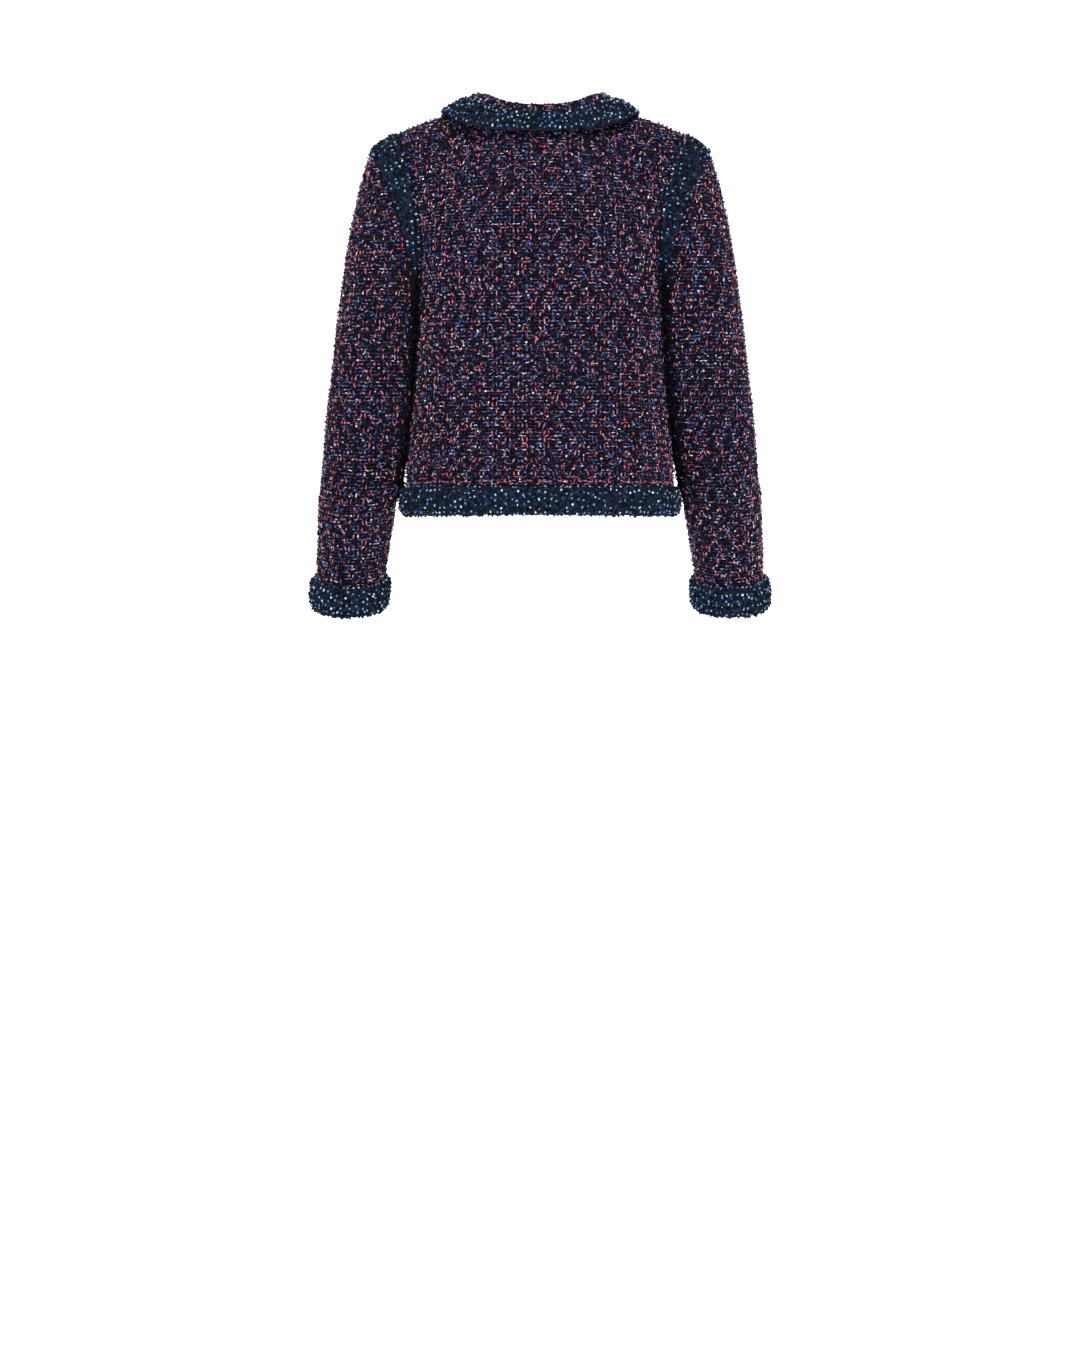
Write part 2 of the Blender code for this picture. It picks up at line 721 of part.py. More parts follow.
def build():
    """Make every piece of the jacket."""
    clear_scene()
    collection = bpy.data.collections.new(COLLECTION_NAME)
    bpy.context.scene.collection.children.link(collection)

    half_back = half_panel(1)
    left_front = half_panel(-1)[:, ::-1]
    back = np.concatenate((mirrored(half_back), half_back[:, 1:]), axis=1)
    right_front = mirrored(left_front)
    left_trim = armhole_trim_grid()
    right_trim = mirrored(left_trim)
    left_sleeve = sleeve_grid()
    right_sleeve = mirrored(left_sleeve)

    skin = Skin()
    for grid in (back, left_front, right_front):
        skin.add(grid, closed=False)
    for grid in (left_trim, right_trim, left_sleeve, right_sleeve):
        skin.add(grid, closed=True)

    armhole = (0, ARMHOLE_STEPS + 1)
    side_seam = (ARMHOLE_STEPS, None)
    back_seams = [("top",)]
    for side in ("start", "end"):
        back_seams += [(side, *armhole), (side, *side_seam)]
    left_seams = [("top",), ("start", *armhole), ("start", *side_seam), ("end", 0, None)]
    right_seams = [("top",), ("end", *armhole), ("end", *side_seam), ("start", 0, None)]
    make_panel("back", back, skin, back_seams, False, collection)
    make_panel("front_left", left_front, skin, left_seams, False, collection)
    make_panel("front_right", right_front, skin, right_seams, False, collection)
    for side, trim, sleeve in (("left", left_trim, left_sleeve), ("right", right_trim, right_sleeve)):
        trim_name = f"armhole_trim_{side}"
        trim_seams = [("top",), ("bottom",)]
        make_panel(trim_name, trim, skin, trim_seams, True, collection, ARMHOLE_TRIM_PAD, TRIM_COLOUR)
        make_panel(f"sleeve_{side}", sleeve, skin, [("top",)], True, collection)
        sleeve_end = sleeve[-2:]
        sleeve_inside = sleeve_end - skin.normals(sleeve)[-2:] * TWEED_WALL
        make_band(f"cuff_{side}", sleeve_end, sleeve_inside, CUFF_PADDING, True, collection)

    hem_line = np.concatenate((right_front[-2:], back[-2:, 1:], left_front[-2:, 1:]), axis=1)
    hem_normals = skin.normals(hem_line)
    hem_inside = hem_line - hem_normals * TWEED_WALL
    front_gap = parted(hem_line, hem_normals, [("start", 0, None), ("end", 0, None)], False)
    hem_line = hem_line + front_gap
    hem_inside = hem_inside + front_gap
    make_band("hem_trim", hem_line, hem_inside, HEM_PADDING, False, collection)
    make_collar(skin, (back, left_front, right_front), collection)


build()
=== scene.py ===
"""Looks of the cropped tweed jacket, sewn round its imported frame.

Sizes are in millimetres, as a pattern cutter gives them, and meshes are made in metres.
The front faces -Y, the wearer's left is +X, and the origin is at the base of the neck.
"""

import logging
import math
from dataclasses import dataclass, field, replace
from enum import Enum

import bpy
import numpy as np
from bpy.types import Material, Node, NodeSocket, Object
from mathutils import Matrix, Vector
from mathutils.bvhtree import BVHTree


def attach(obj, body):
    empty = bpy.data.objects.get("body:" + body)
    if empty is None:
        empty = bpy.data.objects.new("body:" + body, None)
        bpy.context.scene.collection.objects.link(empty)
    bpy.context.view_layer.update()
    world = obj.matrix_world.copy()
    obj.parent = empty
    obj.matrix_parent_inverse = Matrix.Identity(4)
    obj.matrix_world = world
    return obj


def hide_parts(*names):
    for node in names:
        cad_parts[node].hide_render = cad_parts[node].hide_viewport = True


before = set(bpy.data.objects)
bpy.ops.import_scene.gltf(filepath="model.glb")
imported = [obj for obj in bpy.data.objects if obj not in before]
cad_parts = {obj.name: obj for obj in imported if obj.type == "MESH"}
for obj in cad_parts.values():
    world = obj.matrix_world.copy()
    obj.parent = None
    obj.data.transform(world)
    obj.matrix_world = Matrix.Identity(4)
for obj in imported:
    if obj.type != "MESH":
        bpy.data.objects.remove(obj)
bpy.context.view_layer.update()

MM = 0.001
TINY = 1e-6
BODY = "root"
WEAVE_MAP = "weave"
BAKE_MAP = "OFBake"
YARN_COLOUR = "yarn_colour"
SEEDS = {  # for each piece's own irregularities
    "back": 101, "front_left": 102, "front_right": 103, "armhole_trim_left": 111,
    "armhole_trim_right": 112, "sleeve_left": 121, "sleeve_right": 122, "cuff_left": 131,
    "cuff_right": 132, "hem_trim": 141, "collar": 151, "collar_trim": 152,
}
Array = np.ndarray
Table = tuple[tuple[float, ...], ...]
Pair = tuple[float, float]
Triple = tuple[float, float, float]
Colour = Triple
Stops = tuple[tuple[float, Colour], ...]
log = logging.getLogger("cropped_tweed_jacket")


class Slot(Enum):
    """The record's material slots."""

    TWEED = "tweed"
    TRIM = "trim"


class Side(Enum):
    """The wearer's left or right arm."""

    LEFT = "left"
    RIGHT = "right"


class Panel(Enum):
    """Which half of the body a panel is cut for."""

    BACK = 1
    FRONT = -1


class Lie(Enum):
    """How a yarn lies in the cloth."""

    ACROSS = "weft"
    DOWN = "warp"
    KNOT = "knot"


class Where(Enum):
    """Which cloth a yarn shows on: outside the painted shade, in the painted shade of the cleft
    between arm and body and under the collar, or all.
    """

    OPEN = "open"
    FOLD = "fold"
    ALL = "all"


# ---- numbers


SCREEN_CURVE = (0.04045, 12.92, 0.055, 2.4)  # sRGB: limit of the straight part, slope, offset, power


def linear(red: float, green: float, blue: float) -> Colour:
    """A colour of 0 to 255 a channel, as a lamp's light sees it.

    Args:
        red, green, blue: The channels as a screen shows them.

    Returns:
        The three channels as linear values of 0 to 1.
    """
    limit, slope, offset, power = SCREEN_CURVE
    shares = np.array((red, green, blue)) / 255
    high = ((shares + offset) / (1 + offset)) ** power
    return tuple(float(x) for x in np.where(shares <= limit, shares / slope, high))


def unit(vectors: Array) -> Array:
    """Vectors at length one."""
    length = np.linalg.norm(vectors, axis=-1, keepdims=True)
    return vectors / np.maximum(length, TINY)


def column(table: Table, index: int) -> list[float]:
    """One column of a table."""
    return [row[index] for row in table]


def smooth(table_x: list[float], table_y: list[float], x: float) -> float:
    """Value of a smooth curve through a table's points.

    Args:
        table_x: Places along the curve, in either order.
        table_y: Values at those places.
        x: Where the value is wanted.

    Returns:
        The value, held level past the table's ends.
    """
    xs = np.asarray(table_x, float)
    ys = np.asarray(table_y, float)
    if xs[0] > xs[-1]:
        xs = xs[::-1]
        ys = ys[::-1]
    slopes = np.gradient(ys, xs)
    x = np.clip(x, xs[0], xs[-1])
    i = np.clip(np.searchsorted(xs, x) - 1, 0, len(xs) - 2)
    width = xs[i + 1] - xs[i]
    s = (x - xs[i]) / width
    start = (2 * s**3 - 3 * s**2 + 1) * ys[i] + (s**3 - 2 * s**2 + s) * width * slopes[i]
    end = (3 * s**2 - 2 * s**3) * ys[i + 1] + (s**3 - s**2) * width * slopes[i + 1]
    return start + end


def around(table: Table, index: int, angle: float, odd: bool = False) -> float:
    """Value at an angle of a table that runs from 0 to 180 and mirrors.

    Args:
        table: Rows that start with their angle.
        index: The column that is wanted.
        angle: From -180 to 180.
        odd: Whether the value changes its sign on the other side.

    Returns:
        The value at that angle.
    """
    angles = column(table, 0)
    values = column(table, index)
    sign = -1 if odd else 1
    long_angles = [-angles[1]] + angles + [2 * angles[-1] - angles[-2]]
    long_values = [sign * values[1]] + values + [sign * values[-2]]
    value = smooth(long_angles, long_values, abs(angle))
    return value * (sign if angle < 0 else 1)


def spline_weights(count: int, places: Array, closed: bool) -> Array:
    """Weights that a smooth curve's fine points give to its coarse ones.

    Args:
        count: How many coarse points there are.
        places: The fine points' places, in steps from one coarse point to the next.
        closed: Whether the last coarse point joins the first.

    Returns:
        One row of weights for each fine point.
    """
    first = np.floor(places).astype(int)
    if not closed:
        first = np.clip(first, 0, count - 2)
    s = places - first
    rows = np.arange(len(places))
    weights = np.zeros((len(places), count))
    parts = (
        -0.5 * s + s**2 - 0.5 * s**3,
        1 - 2.5 * s**2 + 1.5 * s**3,
        0.5 * s + 2 * s**2 - 1.5 * s**3,
        -0.5 * s**2 + 0.5 * s**3,
    )
    for step, part in zip((-1, 0, 1, 2), parts):
        at = first + step
        if closed:
            np.add.at(weights, (rows, at % count), part)
            continue
        inside = np.clip(at, 0, count - 1)
        mirror = np.where(at < 0, 1, count - 2)
        past = (at < 0) | (at > count - 1)
        np.add.at(weights, (rows, inside), np.where(past, 2 * part, part))
        np.add.at(weights, (rows, mirror), np.where(past, -part, 0.0))
    return weights


def refined(grid: Array, rows: int, columns: int, closed: bool) -> Array:
    """A grid with more rows and columns, on the smooth surface through its points.

    Args:
        grid: Coarse points, by row and column.
        rows, columns: How many the fine grid has.
        closed: Whether its last column joins its first.

    Returns:
        The fine points.
    """
    old_rows, old_columns = grid.shape[:2]
    down = spline_weights(old_rows, np.linspace(0, old_rows - 1, rows), False)
    last = old_columns if closed else old_columns - 1
    places = np.linspace(0, last, columns, endpoint=not closed)
    across = spline_weights(old_columns, places, closed)
    return np.einsum("bj,ajk->abk", across, np.einsum("ai,ijk->ajk", down, grid))


# ---- pattern pieces


@dataclass(frozen=True)
class Cloth:
    """What all the tweed pieces share."""

    wall: float = 3.0
    seam_gap: float = 0.3
    hem_top: float = -453.0
    hem_edge: float = -478.0


@dataclass(frozen=True)
class Neckline:
    """The line where the collar is sewn to the body."""

    table: Table = (  # angle, across, depth, height
        (0, 0, 74, -18), (30, 38, 67, -13), (60, 69, 42, 0), (90, 82, 6, 9),
        (120, 76, -34, -9), (150, 47, -73, -47), (180, 0, -92, -78),
    )
    seam_angle: float = 90.0
    cells: int = 5

    def point(self, angle: float) -> Array:
        """A point of the line: 0 is the centre back, 180 the centre front."""
        return np.array((
            around(self.table, 1, angle, odd=True),
            around(self.table, 2, angle),
            around(self.table, 3, angle),
        ))

    def edge(self, angle: float) -> Array:
        """A point of the line as the panels are cut, straight between their columns.

        Args:
            angle: Degrees from the centre back.

        Returns:
            The point.
        """
        cell = self.seam_angle / self.cells
        first = math.floor(angle / cell)
        start = self.point(first * cell)
        end = self.point(min((first + 1) * cell, 180.0))
        return start + (end - start) * (angle / cell - first)


@dataclass(frozen=True)
class Armhole:
    """The body's edge and the sleeve's edge, with the dark trim set between them."""

    table: Table = (  # angle, body across, height, reach, sleeve across, height, reach
        (0, 177, -20, 0, 207.5, -43, 0), (30, 171.5, -34, 28, 200.5, -55.5, 31),
        (60, 158.5, -70, 47, 185.5, -88, 52), (90, 147, -119, 55, 170.5, -131.5, 60),
        (120, 143.8, -167, 50, 157.5, -175, 54), (150, 145.6, -202, 30, 150.8, -207, 33),
        (180, 147.5, -215, 0, 152.3, -219, 0),
    )
    depth: float = -2.0
    front_reach: float = 0.92
    steps: int = 14
    trim_cells: int = 4

    def point(self, angle: float, sleeve_edge: bool = False) -> Array:
        """A point of the left armhole: 0 is the shoulder tip, 90 the back, -90 the front.

        Args:
            angle: Degrees round the armhole.
            sleeve_edge: Whether it is on the sleeve's edge and not on the body's.

        Returns:
            The point.
        """
        first = 4 if sleeve_edge else 1
        reach = around(self.table, first + 2, angle, odd=True)
        if angle < 0:
            reach *= self.front_reach
        height = around(self.table, first + 1, angle)
        return np.array((around(self.table, first, angle), self.depth + reach, height))

    def angles(self) -> list[float]:
        """The stations from the underarm up the back and over to the front."""
        return [180 * k / self.steps for k in range(self.steps, -self.steps, -1)]

    def trim_grid(self) -> Array:
        """The band between the body's edge and the sleeve's, as a ring of stations.

        Returns:
            The left armhole's grid, whose rows run from the body to the sleeve.
        """
        body = np.array([self.point(angle) for angle in self.angles()])
        sleeve = np.array([self.point(angle, sleeve_edge=True) for angle in self.angles()])
        shares = np.arange(self.trim_cells + 1) / self.trim_cells
        return body + (sleeve - body) * shares[:, None, None]


@dataclass(frozen=True)
class Torso:
    """The back and the two fronts."""

    cloth: Cloth = Cloth()
    neckline: Neckline = Neckline()
    armhole: Armhole = Armhole()
    back_line: Table = (  # height, depth
        (-18, 74), (-40, 93), (-70, 107), (-110, 117), (-160, 122), (-215, 122),
        (-294, 119), (-350, 118.5), (-404, 120), (-457, 124), (-488, 125),
    )
    front_line: Table = (  # height, depth
        (-78, -92), (-105, -108), (-140, -123), (-180, -134), (-215, -139),
        (-294, -138), (-350, -135), (-404, -134), (-452, -134), (-484, -134),
    )
    side_line: Table = (  # height, half width
        (-215, 147.5), (-240, 148), (-294, 150.6), (-350, 155), (-404, 160),
        (-457, 163), (-484, 163.5),
    )
    lower_rows: tuple[float, ...] = (-240, -266, -294, -322, -350, -378, -404, -429)
    hem_tilt: float = 4.0
    squareness: float = 0.84
    flatness: float = 0.72
    fall: float = 1.6
    shoulder_turn: float = 62.0
    side_turn: float = 90.0
    fade_rows: int = 10
    relax_passes: int = 8
    relax_strength: float = 0.6
    shoulder_cells: int = 6
    neck_share: float = 0.37
    shoulder_tip: Triple = (177.0, -2.0, -20.0)
    shoulder_curve: float = 1.45
    back_forms: Table = (  # across, height, depth, half width, half height
        (82, -125, 3.5, 48, 48), (60, -322, 1.5, 110, 30), (40, -400, -1.8, 160, 26),
    )
    front_forms: Table = (
        (84, -205, 9.0, 46, 52), (60, -330, -2.5, 120, 26), (50, -405, 2.0, 120, 24),
    )

    def shoulder_point(self, share: float) -> Array:
        """A point of the shoulder seam, from the neck at 0 to the tip at 1.

        Args:
            share: How far along the seam it is.

        Returns:
            The point.
        """
        neck = self.neckline.point(self.neckline.seam_angle)
        tip = np.array(self.shoulder_tip)
        point = neck + (tip - neck) * share
        point[2] = neck[2] + (tip[2] - neck[2]) * share**self.shoulder_curve
        return point

    def shares(self) -> list[float]:
        """Where the columns stand between the centre line at 0 and the edge at 1.

        Returns:
            Shares that rise from 0 to 1, with one more cell for each column.
        """
        cells = self.neckline.cells
        neck = [self.neck_share * k / cells for k in range(cells)]
        rest = 1 - self.neck_share
        count = self.shoulder_cells
        return neck + [self.neck_share + rest * k / count for k in range(count + 1)]

    def row_point(self, centre: Array, edge: Array, turn: float, share: float) -> Array:
        """A point of a row that leaves the centre line squarely.

        Args:
            centre, edge: The row's two ends.
            turn: Degrees that it has turned by at its edge.
            share: How far along the row the point is.

        Returns:
            The point.
        """
        last = math.radians(turn)
        angle = last * share
        across = (math.sin(angle) / math.sin(last)) ** self.squareness
        start = 1 - max(math.cos(angle), 0.0) ** self.flatness
        back = start / (1 - max(math.cos(last), 0.0) ** self.flatness)
        drop = math.sin(math.pi / 2 * share) ** self.fall
        return np.array((
            edge[0] * across,
            centre[1] + (edge[1] - centre[1]) * back,
            centre[2] + (edge[2] - centre[2]) * drop,
        ))

    def form_depth(self, forms: Table, across: float, height: float) -> float:
        """How far the soft forms raise or hollow a panel at a place.

        Args:
            forms: Rows of the form's place, depth and half sizes.
            across, height: The place.

        Returns:
            The depth, more than 0 where the panel stands out.
        """
        depth = 0.0
        for form_across, form_height, form_depth, half_width, half_height in forms:
            sideways = (abs(across) - form_across) / half_width
            reach = math.hypot(sideways, (height - form_height) / half_height)
            depth += form_depth * math.exp(-0.5 * reach**2)
        return depth

    def relax(self, grid: Array) -> None:
        """Ease the rows below the neck and shoulder towards their neighbours."""
        for _ in range(self.relax_passes):
            old = grid.copy()
            beside = np.concatenate((old[:, 1:2] * (-1, 1, 1), old[:, :-1]), axis=1)
            for i in range(1, self.fade_rows + 1):
                mean = (old[i - 1, :-1] + old[i + 1, :-1] + beside[i, :-1] + old[i, 1:]) / 4
                strength = self.relax_strength * math.sin(math.pi * i / (self.fade_rows + 1))
                grid[i, :-1] += (mean - old[i, :-1]) * strength

    def half(self, panel: Panel) -> Array:
        """Rows of the left half of a panel, from its centre line to its edge.

        Args:
            panel: The back or a front.

        Returns:
            The grid of its rows.
        """
        side = panel.value
        line = self.back_line if panel is Panel.BACK else self.front_line
        forms = self.back_forms if panel is Panel.BACK else self.front_forms
        start = 0.0 if panel is Panel.BACK else 180.0
        cells = self.neckline.cells
        heights = column(line, 0)
        depths = column(line, 1)
        shares = self.shares()
        underarm = self.armhole.point(180)[2]

        seam_angle = self.neckline.seam_angle
        top = [self.neckline.point(start + (seam_angle - start) * k / cells) for k in range(cells)]
        count = self.shoulder_cells
        top += [self.shoulder_point(k / count) for k in range(count + 1)]
        tip = np.array(self.shoulder_tip)
        plain = [self.row_point(top[0], tip, self.shoulder_turn, share) for share in shares]
        rows = [top]
        for step in range(1, self.armhole.steps + 1):
            done = step / self.armhole.steps
            height = line[0][0] + (underarm - line[0][0]) * done
            centre = (0, smooth(heights, depths, height), height)
            edge = self.armhole.point(180 * done * side)
            turn = self.shoulder_turn + (self.side_turn - self.shoulder_turn) * done
            left = min(1.0, step / self.fade_rows)
            fade = 1 - left * left * (3 - 2 * left)
            row = [
                self.row_point(centre, edge, turn, share) + fade * (top_point - plain_point)
                for share, top_point, plain_point in zip(shares, top, plain)
            ]
            row[-1] = edge
            rows.append(row)
        for height in (*self.lower_rows, self.cloth.hem_top, self.cloth.hem_edge):
            below = (height - underarm) / (self.cloth.hem_edge - underarm)
            middle = height - side * self.hem_tilt * below
            centre = (0, smooth(heights, depths, middle), middle)
            width = smooth(column(self.side_line, 0), column(self.side_line, 1), height)
            edge = (width, self.armhole.depth, height)
            rows.append([self.row_point(centre, edge, self.side_turn, share) for share in shares])

        grid = np.array(rows)
        self.relax(grid)
        for row in grid[1:-2]:
            for point, share in zip(row, shares):
                point[1] += side * self.form_depth(forms, point[0], point[2]) * (1 - share**3)
        return grid

    def grids(self) -> dict[str, Array]:
        """The back and the two fronts, each facing out.

        Returns:
            The grids by the names of their nodes.
        """
        half_back = self.half(Panel.BACK)
        left = self.half(Panel.FRONT)[:, ::-1]
        back = np.concatenate((mirrored(half_back), half_back[:, 1:]), axis=1)
        return {"back": back, "front_left": left, "front_right": mirrored(left)}


@dataclass(frozen=True)
class Sleeve:
    """A long sleeve whose forearm leans forward."""

    armhole: Armhole = Armhole()
    rings: Table = (  # height, inner side, outer side, depth, half depth, tilt
        (-240, 149, 245.5, -1, 64, 0), (-270, 150.1, 249.5, -1, 62, 0),
        (-300, 151, 253, -2, 60, 1), (-322, 152.2, 255.5, -3, 58.5, 2),
        (-344, 154.7, 258, -5, 57.5, 4), (-366, 155.4, 260, -8, 57, 6),
        (-390, 159.4, 262.5, -12, 56.5, 9), (-420, 162.3, 266, -18, 56, 11),
        (-452, 171.3, 269.5, -25, 55.5, 13), (-488, 179.5, 271.5, -34, 54.5, 15),
        (-524, 185.5, 273, -43, 53.5, 15), (-560, 191.5, 274.5, -52, 53, 15),
        (-590, 194, 276, -60, 52.5, 15),
    )
    head_cells: int = 5
    head_lean: float = 0.45
    head_drop: float = 0.9
    forms: Table = (  # angle round the arm, height, depth, half angle, half height
        (-95, -322, -4.0, 55, 13), (-110, -366, -5.0, 60, 14), (-80, -420, -3.0, 60, 16),
        (100, -300, -2.5, 50, 18), (70, -366, 2.5, 60, 26),
    )

    def ring_point(self, values: tuple[float, ...], angle: float) -> Array:
        """A point of a ring: 0 is the outer side, 90 the back.

        Args:
            values: A row of the rings' table.
            angle: Degrees round the arm.

        Returns:
            The point.
        """
        height, inner, outer, depth, half_depth, tilt = values
        turn = math.radians(angle)
        lean = math.radians(tilt)
        push = 0.0
        for form_angle, form_height, form_depth, half_angle, half_height in self.forms:
            off = (angle - form_angle + 180) % 360 - 180
            reach = math.hypot(off / half_angle, (height - form_height) / half_height)
            push += form_depth * math.exp(-0.5 * reach**2)
        half_width = (outer - inner) / 2 + push
        deep = (half_depth + push) * math.sin(turn)
        return np.array((
            (outer + inner) / 2 + half_width * math.cos(turn),
            depth + deep * math.cos(lean),
            height - deep * math.sin(lean),
        ))

    def grid(self) -> Array:
        """The left sleeve from the armhole trim to its end, as rings of stations.

        Returns:
            The grid, whose rows run down the arm.
        """
        angles = self.armhole.angles()
        start = np.array([self.armhole.point(angle, sleeve_edge=True) for angle in angles])
        body = np.array([self.armhole.point(angle) for angle in angles])
        rings = [np.array([self.ring_point(v, angle) for angle in angles]) for v in self.rings]
        length = np.linalg.norm(rings[0] - start, axis=-1, keepdims=True)
        leave = unit(start - body) * self.head_lean - np.array((0, 0, self.head_drop))
        arrive = unit(rings[1] - rings[0])
        rows = [start]
        for step in range(1, self.head_cells):
            s = step / self.head_cells
            rows.append(
                (2 * s**3 - 3 * s**2 + 1) * start + (s**3 - 2 * s**2 + s) * length * leave
                + (3 * s**2 - 2 * s**3) * rings[0] + (s**3 - s**2) * length * arrive
            )
        return np.array(rows + rings)


@dataclass(frozen=True)
class Collar:
    """A stand, a roll and a fall that lies on the shoulders."""

    neckline: Neckline = Neckline()
    angles: tuple[float, ...] = (
        *range(0, 154, 9), 161, 168, 173.5, 177, 179,
    )
    table: Table = (  # angle, roll across, depth, height, edge across, depth, height
        (0, 0, 70, 5, 0, 101, -28), (30, 36, 63, 9, 57, 92, -24),
        (60, 64, 39, 21.5, 100, 56, -12), (90, 75, 6, 22.2, 118, 4, 3),
        (120, 70, -33, 11, 111, -52, -25), (150, 42, -74, -27, 71, -106, -80),
        (180, 0, -94, -58, 0, -128, -118),
    )
    roll_radius: float = 3.6
    roll_cells: int = 3
    fall_shares: tuple[float, ...] = (0.2, 0.55, 0.9)
    corner: float = 20.0
    spread: float = 1.3
    lift: float = 2.7
    wall: float = 3.0

    def corner_share(self, distance: float, width: float) -> float:
        """Share of the width that is left at a distance from the rounded front end.

        Args:
            distance: How far the station is from the front end.
            width: The fall's full width.

        Returns:
            The share, which is 1 past the corner.
        """
        if distance >= self.corner:
            return 1.0
        cut = self.corner - math.sqrt(self.corner**2 - (self.corner - distance) ** 2)
        return 1.0 - cut / width

    def profile(self, angle: float, end_distance: float) -> list[Array]:
        """The middle line at a station: stand, roll and fall.

        Args:
            angle: Degrees from the centre back.
            end_distance: How far the station is from the front end.

        Returns:
            Its points, from the neckline to the free edge.
        """
        base = self.neckline.edge(angle)
        roll = np.array([around(self.table, k, angle, odd=k == 1) for k in (1, 2, 3)])
        edge = np.array([around(self.table, k, angle, odd=k == 4) for k in (4, 5, 6)])
        up = unit(roll - base)
        fall = edge - roll
        over = unit(fall - up * np.dot(fall, up))
        radius = self.roll_radius
        stand = np.linalg.norm(roll - base) - radius
        turn = math.pi / 2 - math.atan2(np.dot(fall, up), np.dot(fall, over))
        points = [base, base + up * stand * 0.5]
        for k in range(self.roll_cells + 1):
            a = math.pi - turn * k / self.roll_cells
            sideways = over * radius * (1 + math.cos(a))
            points.append(base + sideways + up * (stand + radius * math.sin(a)))
        start = points[-1]
        fall = (edge - start) * self.corner_share(end_distance, np.linalg.norm(edge - start))
        return points + [start + fall * share for share in self.fall_shares]

    def grid(self, body: list[Array]) -> Array:
        """The middle surface from the left front end round the back to the right.

        Args:
            body: The panels that the fall has to clear.

        Returns:
            The grid, with the stand first and the fall last.
        """
        places = [self.neckline.point(angle) * self.spread for angle in self.angles]
        distances = [0.0]
        for a, b in zip(places[:0:-1], places[-2::-1]):
            distances.append(distances[-1] + float(np.linalg.norm(a - b)))
        stations = zip(self.angles, distances[::-1])
        left = np.array([self.profile(angle, distance) for angle, distance in stations])
        right = left[:0:-1] * (-1, 1, 1)
        grid = np.swapaxes(np.concatenate((right, left)), 0, 1)
        tree = surface_tree(body)
        for point in grid[-3:].reshape(-1, 3):
            place, normal, _, _ = tree.find_nearest(tuple(point))
            height = float(np.dot(point - np.array(place), np.array(normal)))
            point += np.array(normal) * max(0.0, self.lift + self.wall / 2 - height)
        return grid

    def faces(self, grid: Array, cloth: Cloth) -> tuple[Array, Array]:
        """The outer and the inner face of the collar's wall.

        Args:
            grid: The middle surface.
            cloth: The sizes that the tweed pieces share.

        Returns:
            The two faces, with a seam's gap to the body along the neckline.
        """
        skin = Skin()
        skin.add(grid, closed=False)
        normals = skin.normals(grid)
        outer = grid + normals * self.wall / 2
        inner = grid - normals * self.wall / 2
        across = unit(outer[0] - inner[0])
        inner[0] = grid[0] + unit(grid[1] - grid[0]) * cloth.seam_gap
        outer[0] = inner[0] + across * cloth.wall
        return outer, inner


@dataclass(frozen=True)
class Band:
    """A padded strip turned round an edge."""

    padding: Triple  # outside, below the edge, inside
    knops_shown: float = 0.8
    knop_rows: Pair = (0.0, 0.66)  # shares of the face, from its top
    fill: float = 0.6
    gap: float = 0.3
    outside: Table = ((0.0, 0.45), (0.12, 0.88), (0.5, 1.0), (0.88, 0.96))
    edge: Table = ((0.72, 0.62), (1.0, 0.1))
    under_drop: float = 0.6
    under_fullness: float = 0.75
    stop_fullness: float = 0.7
    turn_up: float = 0.6

    def section(self, outer: Array, inner: Array) -> tuple[Array, Array]:
        """The padded face that shows, and the hidden way back up the cloth.

        Args:
            outer, inner: The cloth's two faces as lines of stations, down to its edge.

        Returns:
            The lines that show, and those that lie against the cloth.
        """
        pad, drop, turn_under = self.padding
        out = unit(outer - inner)
        edge = outer[-1]
        inner_edge = inner[-1]
        edge_out = out[-1]
        away = unit(edge - outer[-2])
        middle = (edge + inner_edge) / 2
        half = np.linalg.norm(edge - inner_edge, axis=-1, keepdims=True) / 2
        shown = [outer[0] + out[0] * self.gap]
        for share, fullness in self.outside:
            thick = self.gap + pad * fullness
            shown.append(line_at(outer, share) + line_at(out, share) * thick)
        for share, fullness in self.edge:
            shown.append(middle + away * drop * share + edge_out * (half + pad * fullness))
        under = half + turn_under * self.under_fullness
        shown.append(middle + away * drop * self.under_drop - edge_out * under)
        stop = line_at(inner, self.turn_up)
        stop_out = line_at(out, self.turn_up)
        shown.append(inner_edge - edge_out * (self.gap + turn_under))
        shown.append(stop - stop_out * (self.gap + turn_under * self.stop_fullness))
        shown.append(stop - stop_out * self.gap)
        hidden = [inner_edge + (away - edge_out) * self.gap, edge + (away + edge_out) * self.gap]
        hidden += [outer[k] + out[k] * self.gap for k in range(len(outer) - 2, 0, -1)]
        return np.array(shown), np.array(hidden)


def line_at(lines: Array, share: float) -> Array:
    """The line at a share of the way down a strip.

    Args:
        lines: Lines of stations, one below another.
        share: 0 for the first line and 1 for the last.

    Returns:
        The line.
    """
    place = share * (len(lines) - 1)
    first = min(int(place), len(lines) - 2)
    return lines[first] + (lines[first + 1] - lines[first]) * (place - first)


def mirrored(grid: Array) -> Array:
    """A grid on the other side of the centre plane, still facing out.

    Args:
        grid: A grid by row and column.

    Returns:
        The other grid.
    """
    other = grid.copy()
    other[..., 0] *= -1
    return other[:, ::-1]


def surface_tree(grids: list[Array]) -> BVHTree:
    """A search tree over the outer faces of some grids.

    Args:
        grids: Grids by row and column.

    Returns:
        The tree, in millimetres.
    """
    vertices = []
    faces = []
    for grid in grids:
        rows, columns, _ = grid.shape
        first = len(vertices)
        vertices.extend(tuple(point) for point in grid.reshape(-1, 3))
        for i in range(rows - 1):
            for j in range(columns - 1):
                a = first + i * columns + j
                faces.append((a, a + 1, a + columns + 1, a + columns))
    return BVHTree.FromPolygons(vertices, faces)


SAME_PLACE = 100  # steps in a millimetre that tell two places apart


